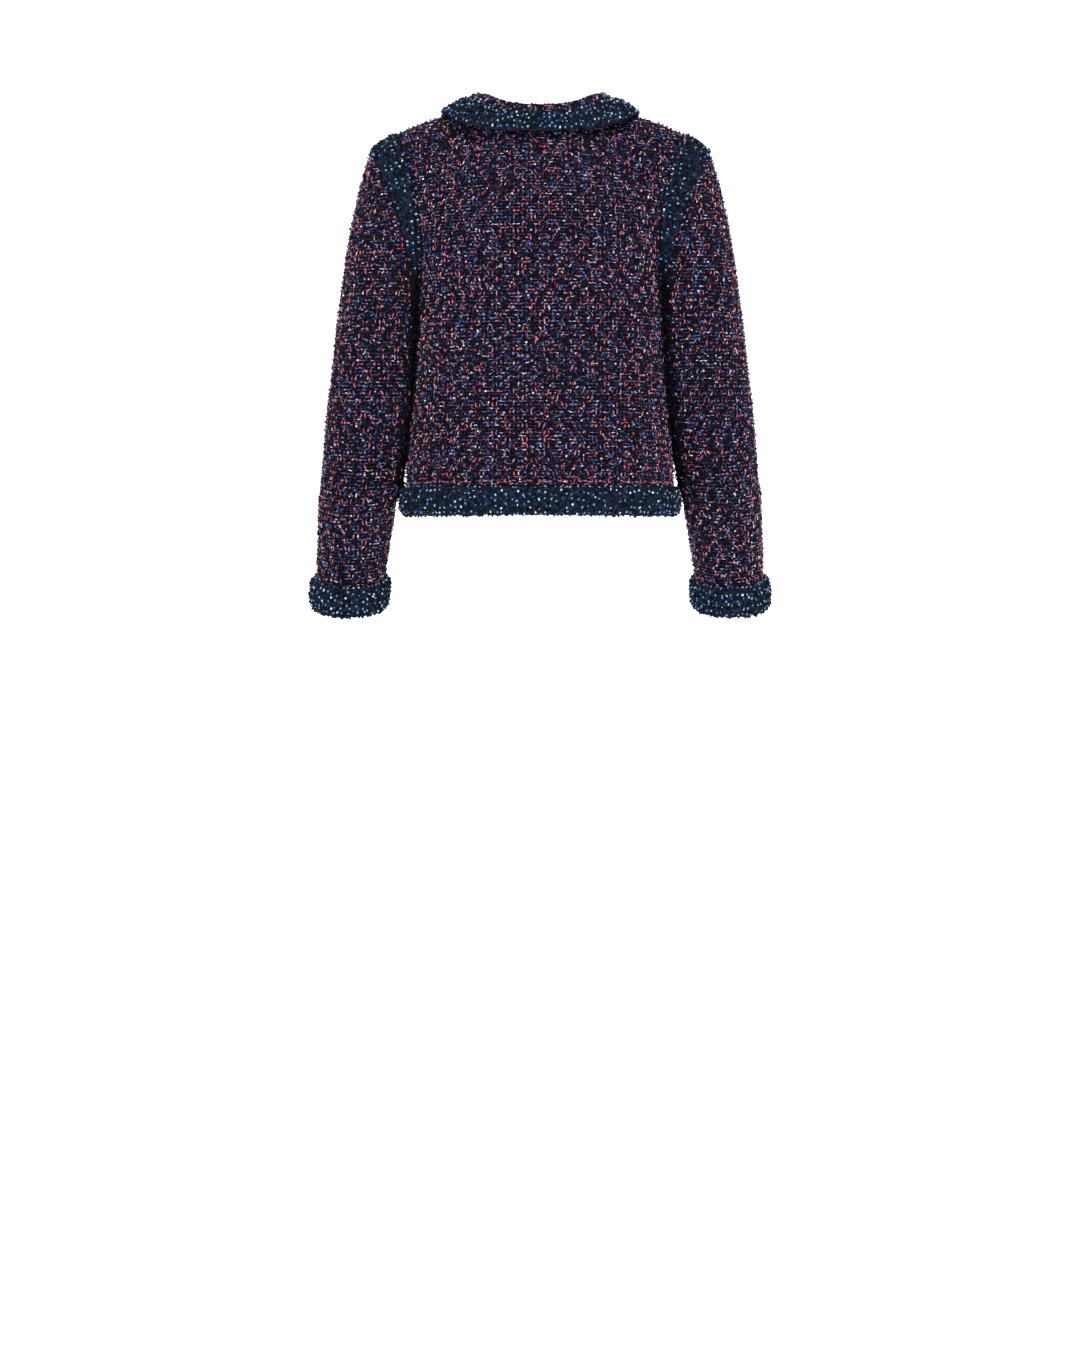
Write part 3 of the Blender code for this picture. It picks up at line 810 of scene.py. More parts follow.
class Skin:
    """The outer form of all the pieces, with normals shared along their seams."""

    def __init__(self) -> None:
        """Start with no cells."""
        self.sums: dict[tuple[int, ...], Array] = {}

    @staticmethod
    def key(point: Array) -> tuple[int, ...]:
        """The same key for the same place in two grids."""
        return tuple(int(round(value * SAME_PLACE)) for value in point)

    def add(self, grid: Array, closed: bool) -> None:
        """Add a grid's cells to the normals of its points.

        Args:
            grid: A grid by row and column.
            closed: Whether its last column joins its first.
        """
        rows, columns, _ = grid.shape
        for i in range(rows - 1):
            for j in range(columns if closed else columns - 1):
                after = (j + 1) % columns
                cell = (grid[i, j], grid[i, after], grid[i + 1, after], grid[i + 1, j])
                normal = np.cross(cell[2] - cell[0], cell[3] - cell[1])
                for point in cell:
                    self.sums[self.key(point)] = self.sums.get(self.key(point), 0) + normal

    def normals(self, grid: Array) -> Array:
        """The shared normals at a grid's points."""
        flat = [self.sums[self.key(point)] for point in grid.reshape(-1, 3)]
        return unit(np.array(flat)).reshape(grid.shape)


# ---- fine cloth


@dataclass(frozen=True)
class Crease:
    """A soft fold pressed into the cloth, at shares of its width and height."""

    across: float
    down: float
    length: float
    width: float
    depth: float
    slant: float = 0.0
    ridge: float = 0.8  # how far the cloth stands up beside the fold


@dataclass(frozen=True)
class RolledEdge:
    """Edges that are rounded down into their seams."""

    sides: str  # t for the top, b for the bottom, s for the start and e for the end
    depth: float = 0.9
    reach: float = 2.6


@dataclass(frozen=True)
class WeftFall:
    """How the weft of the back and fronts leaves the level towards the shoulders."""

    droop: float = 9.0  # how far it sinks at this distance from the centre plane
    shoulder: float = 150.0
    fades_over: float = 200.0
    crowding: float = 1.15  # how much denser the rows lie above the grain line's top


LEVEL_WITHIN = 0.5  # a ring this far above a height still counts as level with it


def sewn_creases() -> dict[str, tuple[Crease, ...]]:
    """The soft folds that the worn cloth takes, by piece.

    Returns:
        Each piece's folds, by the names of their nodes.
    """
    back = (
        Crease(0.07, 0.62, 70, 9, 0.8, 12), Crease(0.93, 0.66, 62, 8, 0.7, -9),
        Crease(0.10, 0.80, 90, 12, 0.9, -6), Crease(0.88, 0.83, 80, 11, 0.8, 8),
        Crease(0.30, 0.40, 120, 14, 0.6, 20), Crease(0.72, 0.43, 110, 13, 0.5, -22),
    )
    front = (
        Crease(0.90, 0.50, 90, 11, 1.3, -24), Crease(0.93, 0.63, 70, 9, 1.0, -10),
        Crease(0.80, 0.78, 95, 12, 0.9, 6), Crease(0.40, 0.66, 80, 14, 0.6, 8),
    )
    sleeve = (
        Crease(0.0, 0.035, 64, 10, -3.4), Crease(0.0, 0.612, 64, 12, -4.2),
        Crease(0.80, 0.40, 105, 9, 1.6, 7), Crease(0.77, 0.46, 120, 10, 2.0, -6),
        Crease(0.82, 0.53, 90, 9, 1.3, 9), Crease(0.30, 0.44, 80, 10, 0.8, -8),
        Crease(0.34, 0.57, 90, 12, 0.7, 10), Crease(0.60, 0.72, 110, 13, 0.8, -7),
        Crease(0.22, 0.86, 80, 12, 0.7, 8), Crease(0.72, 0.90, 70, 10, 0.8, -5),
    )
    flipped = {
        name: tuple(replace(c, across=(1 - c.across) % 1.0, slant=-c.slant) for c in folds)
        for name, folds in (("front_right", front), ("sleeve_right", sleeve))
    }
    top, elbow, *others = flipped["sleeve_right"]
    flipped["sleeve_right"] = (top, replace(elbow, depth=-2.0), *others)
    return {"back": back, "front_left": front[::-1], "sleeve_left": sleeve, **flipped}


@dataclass(frozen=True)
class Unevenness:
    """Small swells that keep cloth from looking drawn with a ruler."""

    height: float = 0.35
    shortest: float = 14.0
    longest: float = 60.0
    waves: int = 26
    full_waves: float = 4.0  # with this many waves each has the full height, with more less
    flatter: float = 0.5  # power by which the shorter waves are lower
    seed: int = 7

    def relief(self, across: Array, down: Array, round_length: float) -> Array:
        """Heights at places on the cloth.

        Args:
            across, down: Places in millimetres.
            round_length: Length after which the swells repeat, or 0 where the cloth is open.

        Returns:
            The heights in millimetres.
        """
        rng = np.random.default_rng(self.seed)
        total = np.zeros_like(down)
        for _ in range(self.waves):
            wavelength = self.shortest * (self.longest / self.shortest) ** rng.random()
            heading = rng.random() * math.pi
            turns = math.cos(heading) / wavelength
            if round_length:
                turns = round(turns * round_length) / round_length
            phase = rng.random() * 2 * math.pi
            wave = across * turns + down * math.sin(heading) / wavelength
            tall = (wavelength / self.longest) ** self.flatter
            total += np.sin(2 * math.pi * wave + phase) * tall
        return total * self.height / math.sqrt(self.waves / self.full_waves)


class Surface:
    """One face of a piece as a fine grid: rows run across it and columns down it."""

    def __init__(self, grid: Array, normals: Array, spacing: float, closed: bool) -> None:
        """Lay a fine grid on a coarse one.

        Args:
            grid, normals: Coarse points and the directions that face out.
            spacing: Distance from one fine point to the next.
            closed: Whether the last column joins the first.
        """
        around_it = np.concatenate((grid, grid[:, :1]), axis=1) if closed else grid
        width = np.linalg.norm(np.diff(around_it, axis=1), axis=-1).sum(axis=1).max()
        height = np.linalg.norm(np.diff(grid, axis=0), axis=-1).sum(axis=0).max()
        rows = max(grid.shape[0], round(height / spacing) + 1)
        columns = max(grid.shape[1], round(width / spacing) + 1)
        self.closed = closed
        self.origin = 0.5  # share of the width where the straight grain runs
        self.points = refined(grid, rows, columns, closed)
        self.normals = unit(refined(normals, rows, columns, closed))
        self.measure()
        mean = self.down.mean(axis=1, keepdims=True)
        self.grain = np.repeat(mean, self.down.shape[1], axis=1)

    def measure(self) -> None:
        """Find how far each point lies across and down the cloth."""
        points = self.wrapped(self.points)
        steps = np.linalg.norm(np.diff(points, axis=1), axis=-1)
        self.across = np.concatenate((np.zeros((len(points), 1)), np.cumsum(steps, axis=1)), axis=1)
        steps = np.linalg.norm(np.diff(points, axis=0), axis=-1)
        start = np.zeros((1, points.shape[1]))
        self.down = np.concatenate((start, np.cumsum(steps, axis=0)), axis=0)

    def level_weft(self, from_height: float) -> None:
        """Let the weft run level above a height, and keep to the rings below it.

        Args:
            from_height: The height of the first ring below the sleeve's head.
        """
        heights = self.wrapped(self.points)[..., 2]
        first = int(np.argmax(heights.max(axis=1) < from_height + LEVEL_WITHIN))
        mean = self.down.mean(axis=1, keepdims=True)
        below = -from_height + mean - mean[first]
        rows = np.arange(len(mean))[:, None]
        self.grain = np.where(rows < first, -heights, below)

    def level_rows(self, origin: float, weft: WeftFall) -> None:
        """Let the weft run level, evenly spaced down the straight grain line.

        Args:
            origin: Share of the width where the straight grain runs.
            weft: How it leaves the level at the shoulder.
        """
        self.origin = origin
        x, height = self.points[..., 0], self.points[..., 2]
        high = np.clip(1 + height / weft.fades_over, 0, 1)
        height = height + weft.droop * (x / weft.shoulder) ** 2 * high
        column = round(origin * (x.shape[1] - 1))
        line = height[:, column]
        self.grain = np.interp(-height, -line, self.down[:, column])
        above = weft.crowding * np.maximum(0, height - line[0])
        self.grain += np.maximum(0, line[-1] - height) - above

    def share_at(self, height: float) -> float:
        """Share of the way down the grain at which a height is reached.

        Args:
            height: A height.

        Returns:
            The share, from 0 at the top to 1 at the bottom.
        """
        steps = np.argmax(self.points[..., 2] < height, axis=0)
        row = int(np.median(steps))
        top, bottom = self.grain.min(), self.grain.max()
        above, below = (float(np.median(self.points[k, :, 2])) for k in (row - 1, row))
        part = (above - height) / max(above - below, TINY)
        place = np.median(self.grain[row - 1]) * (1 - part) + np.median(self.grain[row]) * part
        return float((place - top) / (bottom - top))

    def wrapped(self, values: Array) -> Array:
        """Values by row and column, with the first column again at the end where it joins."""
        return np.concatenate((values, values[:, :1]), axis=1) if self.closed else values

    def share_across(self) -> Array:
        """How far each point lies across the cloth, from 0 to 1."""
        return self.across / np.maximum(self.across[:, -1:], TINY)

    def width(self) -> float:
        """The widest row's length."""
        return float(self.across[:, -1].max())

    def height(self) -> float:
        """The longest column's length."""
        return float(self.down[-1].max())

    def clearance(self, grids: list[Array]) -> Array:
        """How far each point lies from the grids beside it.

        Args:
            grids: Their outer faces.

        Returns:
            The distances in millimetres.
        """
        tree = surface_tree(grids)
        flat = [tree.find_nearest(Vector(point))[3] for point in self.points.reshape(-1, 3)]
        return np.array(flat).reshape(*self.points.shape[:2], 1)

    def raise_by(self, relief: Array) -> None:
        """Move the points out along their normals."""
        self.points = self.points + self.normals * relief[:, : self.points.shape[1], None]

    def press(self, creases: tuple[Crease, ...]) -> None:
        """Press soft folds into the face.

        Args:
            creases: The folds, at shares of the face.
        """
        relief = np.zeros_like(self.down)
        share = self.share_across()
        for crease in creases:
            off = share - crease.across
            if self.closed:
                off = (off + 0.5) % 1.0 - 0.5
            x = off * self.across[:, -1:]
            y = self.down - crease.down * self.down[-1:]
            slant = math.radians(crease.slant)
            along = x * math.cos(slant) + y * math.sin(slant)
            q = (y * math.cos(slant) - x * math.sin(slant)) / crease.width
            hat = (1 - crease.ridge * q**2) * np.exp(-0.5 * q**2)
            relief -= crease.depth * hat * np.exp(-((2 * along / crease.length) ** 2))
        self.raise_by(relief)

    def swell(self, unevenness: Unevenness, ease: Array | float = 1.0) -> None:
        """Give the face small swells.

        Args:
            unevenness: How high, how long and how many they are.
            ease: Share of their height that each row takes.
        """
        length = self.width() if self.closed else 0.0
        places = self.share_across() * self.width()
        self.raise_by(unevenness.relief(places, self.down, length) * ease)

    def roll_edges(self, rolled: RolledEdge) -> None:
        """Round the cloth down into its seams.

        Args:
            rolled: Which edges go in, how far and how softly.
        """
        away = {
            "t": self.down, "b": self.down[-1:] - self.down,
            "s": self.across, "e": self.across[:, -1:] - self.across,
        }
        relief = np.zeros_like(self.down)
        for side in rolled.sides:
            sunk = -rolled.depth * np.exp(-((away[side] / rolled.reach) ** 2))
            relief = np.minimum(relief, sunk)
        self.raise_by(relief)

    def at(self, values: Array, rows: Array, columns: Array) -> Array:
        """Values at places between the rows and columns.

        Args:
            values: Values by row and column.
            rows, columns: The places, as rows and columns with their parts.

        Returns:
            A value for each place.
        """
        height, width = values.shape[:2]
        above = np.clip(np.floor(rows).astype(int), 0, height - 2)
        left = np.floor(columns).astype(int)
        if not self.closed:
            left = np.clip(left, 0, width - 2)
        down = np.clip(rows - above, 0, 1)[:, None]
        across = np.clip(columns - left, 0, 1)[:, None]
        right = (left + 1) % width if self.closed else left + 1
        left = left % width
        upper = values[above, left] * (1 - across) + values[above, right] * across
        lower = values[above + 1, left] * (1 - across) + values[above + 1, right] * across
        return upper * (1 - down) + lower * down


def linked(thing: Object) -> Object:
    """An object, once it is in the scene."""
    bpy.context.scene.collection.objects.link(thing)
    return thing


def make_mesh(
    name: str,
    points: Array,
    faces: list[Array],
    maps: dict[str, list[Array]],
    colours: Array | None = None,
) -> Object:
    """A smooth-shaded object in metres.

    Args:
        name: The piece's name.
        points: Vertices in millimetres.
        faces: Arrays of faces, each array with one number of corners.
        maps: For each map, the corners' places in the same order as the faces.
        colours: A colour for each vertex, where its yarns have their own.

    Returns:
        The linked object.
    """
    mesh = bpy.data.meshes.new(name)
    sizes = np.concatenate([np.full(len(block), block.shape[1]) for block in faces])
    corners = np.concatenate([block.ravel() for block in faces])
    mesh.vertices.add(len(points))
    mesh.vertices.foreach_set("co", (points * MM).astype(np.float32).ravel())
    mesh.loops.add(len(corners))
    mesh.loops.foreach_set("vertex_index", corners.astype(np.int32))
    mesh.polygons.add(len(sizes))
    starts = np.concatenate(([0], np.cumsum(sizes)[:-1]))
    mesh.polygons.foreach_set("loop_start", starts.astype(np.int32))
    mesh.polygons.foreach_set("use_smooth", np.ones(len(sizes), bool))
    for map_name, blocks in maps.items():
        layer = mesh.uv_layers.new(name=map_name)
        places = np.concatenate([block.reshape(-1, 2) for block in blocks])
        layer.uv.foreach_set("vector", places.astype(np.float32).ravel())
    if colours is not None:
        layer = mesh.attributes.new(YARN_COLOUR, "FLOAT_COLOR", "POINT")
        full = np.concatenate((colours, np.ones((len(colours), 1))), axis=1)
        layer.data.foreach_set("color", full.astype(np.float32).ravel())
    mesh.update(calc_edges=True)
    return linked(bpy.data.objects.new(name, mesh))


HIDDEN_STEP = 4.0  # the weave that each hidden line of a band takes up
END_WIDTH = 3.0  # how wide a wall's end is on the weave map
BAKE_MARGIN = 0.02  # room at each side of the bake map for a wall's two ends
END_CENTRES = (0.009, 0.989)  # the first and the last end, across the bake map
END_HALF_SIZE = (0.007, 0.49)


@dataclass
class Loop:
    """A closed section swept along stations, with its places on the cloth."""

    points: Array
    across: Array
    down: Array
    closed: bool
    strip_ends: bool

    @classmethod
    def wall(cls, face: Surface, inner: Array, wall: float) -> "Loop":
        """The loop of a wall between a face and the surface behind it.

        Args:
            face: The face that shows.
            inner: The points behind it.
            wall: The cloth's thickness.

        Returns:
            The loop.
        """
        points = np.concatenate((face.points, inner[::-1]))
        across = face.across - face.origin * face.across[:, -1:]
        across = np.concatenate((across, across[::-1], across[:1]))
        grain = np.broadcast_to(face.grain, face.down.shape)
        down = np.concatenate((grain, grain[::-1] + wall, grain[:1] - wall))
        return cls(points, across, down, face.closed, True)

    @classmethod
    def band(cls, face: Surface, hidden: Array) -> "Loop":
        """The loop of a padded band.

        Args:
            face: The padded face that shows.
            hidden: The lines that lie against the cloth.

        Returns:
            The loop.
        """
        points = np.concatenate((face.points, hidden))
        extra = np.repeat(face.across[-1:], len(hidden) + 1, axis=0)
        across = np.concatenate((face.across, extra))
        steps = np.arange(1, len(hidden) + 2)[:, None] * HIDDEN_STEP
        down = np.concatenate((face.down, face.down[-1:] + steps))
        return cls(points, across, down, face.closed, False)

    def ends(self) -> list[Array]:
        """Faces that close the first and the last station.

        Returns:
            Arrays of faces, or none where the loop's stations join up.
        """
        count, stations, _ = self.points.shape
        if self.closed:
            return []
        if self.strip_ends:
            k = np.arange(count // 2 - 1)
            strip = np.stack((k, k + 1, count - 2 - k, count - 1 - k), axis=-1)
        else:
            strip = np.arange(count)[None]
        return [strip * stations, strip[:, ::-1] * stations + stations - 1]

    def make(self, name: str) -> Object:
        """The piece, with a map along the weave and one laid out for baking.

        Args:
            name: The piece's name.

        Returns:
            The linked object.
        """
        count, stations, _ = self.points.shape
        spans = stations if self.closed else stations - 1
        k, j = np.meshgrid(np.arange(count), np.arange(spans), indexing="ij")
        k, j = k.ravel(), j.ravel()
        rows = np.stack((k, k, k + 1, k + 1), axis=-1)
        columns = np.stack((j, j + 1, j + 1, j), axis=-1)
        quads = (rows % count) * stations + columns % stations
        weave = np.stack((self.across[rows, columns], self.down[rows, columns]), axis=-1) * MM
        bake_width = 1 - 2 * BAKE_MARGIN
        bake = np.stack((BAKE_MARGIN + bake_width * columns / spans, rows / count), axis=-1)
        faces = [quads]
        maps = {WEAVE_MAP: [weave], BAKE_MAP: [bake]}
        for side, block in enumerate(self.ends()):
            row, station = block // stations, block % stations
            shift = (row >= count / 2) * END_WIDTH
            place = np.stack((self.across[row, station] + shift, self.down[row, station]), axis=-1)
            turn = 2 * math.pi * row / count
            half_width, half_height = END_HALF_SIZE
            beside = END_CENTRES[side] + half_width * np.cos(turn)
            spot = np.stack((beside, 0.5 + half_height * np.sin(turn)), axis=-1)
            faces.append(block)
            maps[WEAVE_MAP].append(place * MM)
            maps[BAKE_MAP].append(spot)
        return make_mesh(name, self.points.reshape(-1, 3), faces, maps)


# ---- yarns


TIP_SHARE = 0.2  # how much of a thread's bake map each pointed end takes


@dataclass(frozen=True)
class Slub:
    """The form of one yarn float: a short thread whose ends dive into the cloth."""

    rings: Table  # along from -1 to 1, share of its thickness, share of its lift
    sides: int = 4

    def points(self) -> tuple[Array, Array, Array, Array]:
        """Where each vertex is along, beside and above the thread, and its lift.

        Returns:
            Four arrays: places along, beside, above, and shares of the lift.
        """
        rows = [(-1.0, 0.0, 0.0, 0.0)]
        for place, thickness, height in self.rings:
            for k in range(self.sides):
                turn = 2 * math.pi * k / self.sides + math.pi / 2
                rows.append((place, thickness * math.cos(turn), thickness * math.sin(turn), height))
        rows.append((1.0, 0.0, 0.0, 0.0))
        return tuple(np.array(rows).T)

    def faces(self) -> tuple[Array, Array, Array, Array]:
        """The tips' triangles and the sides' quads, each with its places on the map.

        Returns:
            Triangles, their map, quads and their map.
        """
        sides, rings = self.sides, len(self.rings)
        last = rings * sides + 1
        tips, tip_map, quads, quad_map = [], [], [], []
        for k in range(sides):
            after = (k + 1) % sides
            low, high = k / sides, (k + 1) / sides
            end = last - sides
            tips += [(0, 1 + after, 1 + k), (last, end + k, end + after)]
            tip_map.append(((low, 0), (high, TIP_SHARE), (low, TIP_SHARE)))
            tip_map.append(((high, 1), (low, 1 - TIP_SHARE), (high, 1 - TIP_SHARE)))
            for ring in range(rings - 1):
                a = 1 + ring * sides
                b = a + sides
                top = TIP_SHARE + (1 - 2 * TIP_SHARE) * ring / (rings - 1)
                bottom = TIP_SHARE + (1 - 2 * TIP_SHARE) * (ring + 1) / (rings - 1)
                quads.append((a + k, a + after, b + after, b + k))
                quad_map.append(((low, top), (high, top), (high, bottom), (low, bottom)))
        return np.array(tips), np.array(tip_map), np.array(quads), np.array(quad_map)


LONG_SLUB = Slub(rings=((-0.58, 0.9, 0.75), (0.0, 1.0, 1.0), (0.58, 0.85, 0.7)), sides=3)
SHORT_SLUB = Slub(rings=((-0.5, 1.0, 0.9), (0.5, 0.92, 0.85)))


@dataclass(frozen=True)
class Yarn:
    """A yarn that shows in the cloth, and how often."""

    colour: Colour
    share: float


@dataclass(frozen=True)
class Sowing:
    """One kind of float over a face: how it lies, its sizes, its spacing and its yarns."""

    lie: Lie
    slub: Slub
    yarns: tuple[Yarn, ...]
    pitch: Pair  # across, down
    length: Pair
    thickness: Pair
    lift: float
    shown: float = 1.0
    run: float = 0.0
    jitter: float = 0.5
    wiggle: float = 0.0
    offset: float = 0.5
    tilt: float = 10.0
    flatness: float = 0.8
    rows: Pair = (0.0, 1.0)
    where: Where = Where.OPEN


FAR_AWAY = 1e3  # where the row before a bed's first one is taken to lie


@dataclass(frozen=True)
class Scatter:
    """How the floats of every bed vary, and how near an edge they may come."""

    chance: float = 0.12  # how far a share strays from its even place
    kind_step: float = 0.618  # steps that spread shares of 0 to 1 evenly along a row
    keep_step: float = 0.755
    full_room: float = 1.25  # floats thin out where this many times the room is under 1
    farthest: float = 2.5  # the most that a float strays down from its row or up
    crossed: float = 0.99  # a float needs its row to cross this much of its place
    side_margin: float = 0.8
    row_margin: float = 0.1
    lift: Pair = (0.6, 1.3)
    dive: float = 0.3  # how far the ends go in, as a share of the lift
    bends: float = 2.4
    shade: Pair = (0.5, 1.3)
    tint: Pair = (0.9, 1.1)
    bake_margin: float = 0.1


@dataclass
class WeftLine:
    """A row of the weft across a face, by column."""

    rows: Array
    points: Array
    inside: Array  # which columns it crosses


def between(values: Array, columns: Array) -> Array:
    """Values by column, read at places between the columns."""
    return np.interp(columns, np.arange(len(values)), values)


class Bed:
    """The floats, knots and nubs of one piece, gathered into one mesh."""

    def __init__(self, face: Surface, seed: int) -> None:
        """Start on a face.

        Args:
            face: Where the floats lie, with the warp counted from its origin.
            seed: For the piece's own irregularities.
        """
        self.face = face
        self.rng = np.random.default_rng(seed)
        self.scatter = Scatter()
        # shares of the floats kept outside the painted shade, and where the dark knots of painted
        # shade lie
        self.unshaded_share = np.ones((*face.points.shape[:2], 1))
        self.fold = np.zeros((*face.points.shape[:2], 1))
        self.batches: list[tuple[Slub, Array, Array]] = []

    def weft_line(self, place: float) -> WeftLine:
        """A row of the weft across the face.

        Args:
            place: How far down the grain the row lies.

        Returns:
            The row.
        """
        face = self.face
        grain = face.grain
        passed = grain <= place
        row = np.clip(passed.sum(axis=0) - 1, 0, len(grain) - 2)
        columns = np.arange(grain.shape[1])
        low, high = grain[row, columns], grain[row + 1, columns]
        rows = row + np.clip((place - low) / np.maximum(high - low, TINY), 0, 1)
        return WeftLine(rows, face.at(face.points, rows, columns), passed[0] & ~passed[-1])

    def spread(self, count: int, step: float) -> Array:
        """Shares of 0 to 1 that are spread evenly along a row, with a little chance.

        Args:
            count: How many there are.
            step: From one share to the next.

        Returns:
            The shares.
        """
        stray = self.scatter.chance
        chance = self.rng.uniform(-stray, stray, count) + self.rng.random()
        return (step * np.arange(count) + chance) % 1.0

    def kinds(self, sowing: Sowing, count: int) -> Array:
        """The yarns of a row's floats, where a run of floats may share one.

        Args:
            sowing: The kind of float.
            count: How many floats the row has.

        Returns:
            The yarns' numbers.
        """
        weights = np.array([yarn.share for yarn in sowing.yarns])
        limits = np.cumsum(weights / weights.sum())[:-1]
        picked = np.searchsorted(limits, self.spread(count, self.scatter.kind_step))
        fresh = self.rng.random(count) >= sowing.run
        return picked[np.maximum.accumulate(np.where(fresh, np.arange(count), 0))]

    def row_places(self, sowing: Sowing, line: WeftLine, odd: bool, room: Array) -> tuple[Array, ...]:
        """Where the floats of one row lie.

        Args:
            sowing: The kind of float.
            line: The row.
            odd: Whether weft floats stand half a pitch further along.
            room: How far the row lies from the last one, in pitches.

        Returns:
            Their rows, columns, weft directions and yarns.
        """
        face, rng, rules = self.face, self.rng, self.scatter
        across_pitch, down_pitch = sowing.pitch
        steps = np.linalg.norm(np.diff(line.points, axis=0), axis=-1)
        reach = np.concatenate(([0.0], np.cumsum(steps)))
        start = face.origin * reach[-1]
        shift = 0.5 if odd and sowing.lie is Lie.ACROSS else 0.0
        first = math.ceil(-start / across_pitch)
        last = math.floor((reach[-1] - start) / across_pitch)
        spots = start + (np.arange(first, last + 1) + shift) * across_pitch
        count = len(spots)
        spots = spots + rng.uniform(-1, 1, count) * sowing.jitter * across_pitch
        kinds = self.kinds(sowing, count)
        columns = np.interp(spots, reach, np.arange(len(reach)))
        wander = rng.uniform(-1, 1, count) * sowing.jitter * down_pitch
        wander = np.clip(wander, -rules.farthest, rules.farthest)
        rows = between(line.rows, columns) + wander / max(face.height(), 1.0) * (len(face.points) - 1)
        tangent = unit(np.gradient(line.points, axis=0))
        along = np.stack([between(part, columns) for part in tangent.T], axis=-1)
        free = np.minimum(1.0, rules.full_room * between(room, columns))
        # open-cloth floats thin out where shade is painted, and the painted-shade knots lie only
        # there
        shares = {Where.OPEN: self.unshaded_share, Where.FOLD: self.fold}.get(sowing.where)
        fits = 1.0 if shares is None else face.at(shares, rows, columns)[:, 0]
        keep = self.spread(count, rules.keep_step) < sowing.shown * free * fits
        keep &= between(line.inside.astype(float), columns) > rules.crossed
        keep &= (spots > rules.side_margin) & (spots < reach[-1] - rules.side_margin)
        keep &= (rows > rules.row_margin) & (rows < len(face.points) - 1 - rules.row_margin)
        return rows[keep], columns[keep], along[keep], kinds[keep]

    def places(self, sowing: Sowing) -> tuple[Array, ...]:
        """Where all the floats of a sowing lie.

        Args:
            sowing: The kind of float.

        Returns:
            Their rows, columns, weft directions and yarns.
        """
        grain, pitch = self.face.grain, sowing.pitch[1]
        top, bottom = grain.min(), grain.max()
        low, high = (top + share * (bottom - top) for share in sowing.rows)
        found = []
        before = np.full((grain.shape[1], 3), FAR_AWAY)
        for number, place in enumerate(np.arange(low + sowing.offset * pitch, high, pitch)):
            line = self.weft_line(place)
            room = np.linalg.norm(line.points - before, axis=-1) / pitch
            before = line.points
            if line.inside.sum() > 1:
                found.append(self.row_places(sowing, line, number % 2 == 1, room))
        return tuple(np.concatenate(part) for part in zip(*found))

    def sow(self, sowing: Sowing) -> None:
        """Lay one kind of float over the face.

        Args:
            sowing: The kind of float.
        """
        rng, rules = self.rng, self.scatter
        rows, columns, weft, kinds = self.places(sowing)
        count = len(rows)
        if not count:
            return
        point = self.face.at(self.face.points, rows, columns)
        normal = unit(self.face.at(self.face.normals, rows, columns))
        across = unit(weft - normal * np.sum(weft * normal, axis=-1, keepdims=True))
        down = np.cross(across, normal)
        turn = np.radians(rng.normal(0, sowing.tilt, count))[:, None]
        if sowing.lie is Lie.KNOT:
            turn = rng.uniform(0, math.pi, count)[:, None]
        first, second = (down, across) if sowing.lie is Lie.DOWN else (across, down)
        along = first * np.cos(turn) + second * np.sin(turn)
        beside = np.cross(normal, along)
        length = rng.uniform(*sowing.length, count)[:, None] / 2
        thick = rng.uniform(*sowing.thickness, count)[:, None] / 2
        lift = sowing.lift * rng.uniform(*rules.lift, count)[:, None]
        wiggle = sowing.wiggle * rng.normal(0, 1, count)[:, None]
        phase = rng.uniform(0, 2 * math.pi, count)[:, None]
        a, b, c, d = sowing.slub.points()
        sideways = thick * b + wiggle * np.sin(rules.bends * a + phase) * (1 - a**2)
        upward = lift * (d * (1 + rules.dive) - rules.dive) + thick * sowing.flatness * c
        points = (
            point[:, None] + along[:, None] * (length * a)[..., None]
            + beside[:, None] * sideways[..., None] + normal[:, None] * upward[..., None]
        )
        palette = np.array([yarn.colour for yarn in sowing.yarns])
        shade = rng.uniform(*rules.shade, (count, 1)) * rng.uniform(*rules.tint, (count, 3))
        colours = np.repeat((palette[kinds] * shade)[:, None], len(a), axis=1)
        self.batches.append((sowing.slub, points, colours))

    def make(self, name: str) -> Object:
        """The mesh of all that was sown, with a square of the bake map for each float.

        Args:
            name: The piece's name.

        Returns:
            The linked object.
        """
        margin = self.scatter.bake_margin
        cells = math.ceil(math.sqrt(sum(len(points) for _, points, _ in self.batches)))
        vertices, colours, tips, quads, tip_maps, quad_maps = [], [], [], [], [], []
        made, first = 0, 0
        for slub, points, colour in self.batches:
            count, each = points.shape[:2]
            tip, tip_map, quad, quad_map = slub.faces()
            base = (first + np.arange(count) * each)[:, None, None]
            number = made + np.arange(count)
            square = np.stack((number % cells, number // cells), axis=-1)[:, None, None] + margin
            tips.append((tip + base).reshape(-1, 3))
            quads.append((quad + base).reshape(-1, 4))
            tip_maps.append(((square + (1 - 2 * margin) * tip_map) / cells).reshape(-1, 3, 2))
            quad_maps.append(((square + (1 - 2 * margin) * quad_map) / cells).reshape(-1, 4, 2))
            vertices.append(points.reshape(-1, 3))
            colours.append(colour.reshape(-1, 3))
            first += count * each
            made += count
        maps = {BAKE_MAP: [np.concatenate(tip_maps), np.concatenate(quad_maps)]}
        faces = [np.concatenate(tips), np.concatenate(quads)]
        return make_mesh(name, np.concatenate(vertices), faces, maps, np.concatenate(colours))


CORAL = linear(227, 104, 112)
ROSE = linear(215, 148, 158)
CHALK = linear(234, 222, 232)
LILAC = linear(142, 130, 178)
COBALT = linear(74, 114, 184)
SKY = linear(138, 180, 230)
NAVY = linear(44, 56, 102)
PLUM = linear(88, 62, 86)
AZURE = linear(106, 156, 222)
ICE = linear(206, 222, 244)
INK = linear(12, 12, 21)
DEEP = linear(8, 16, 30)

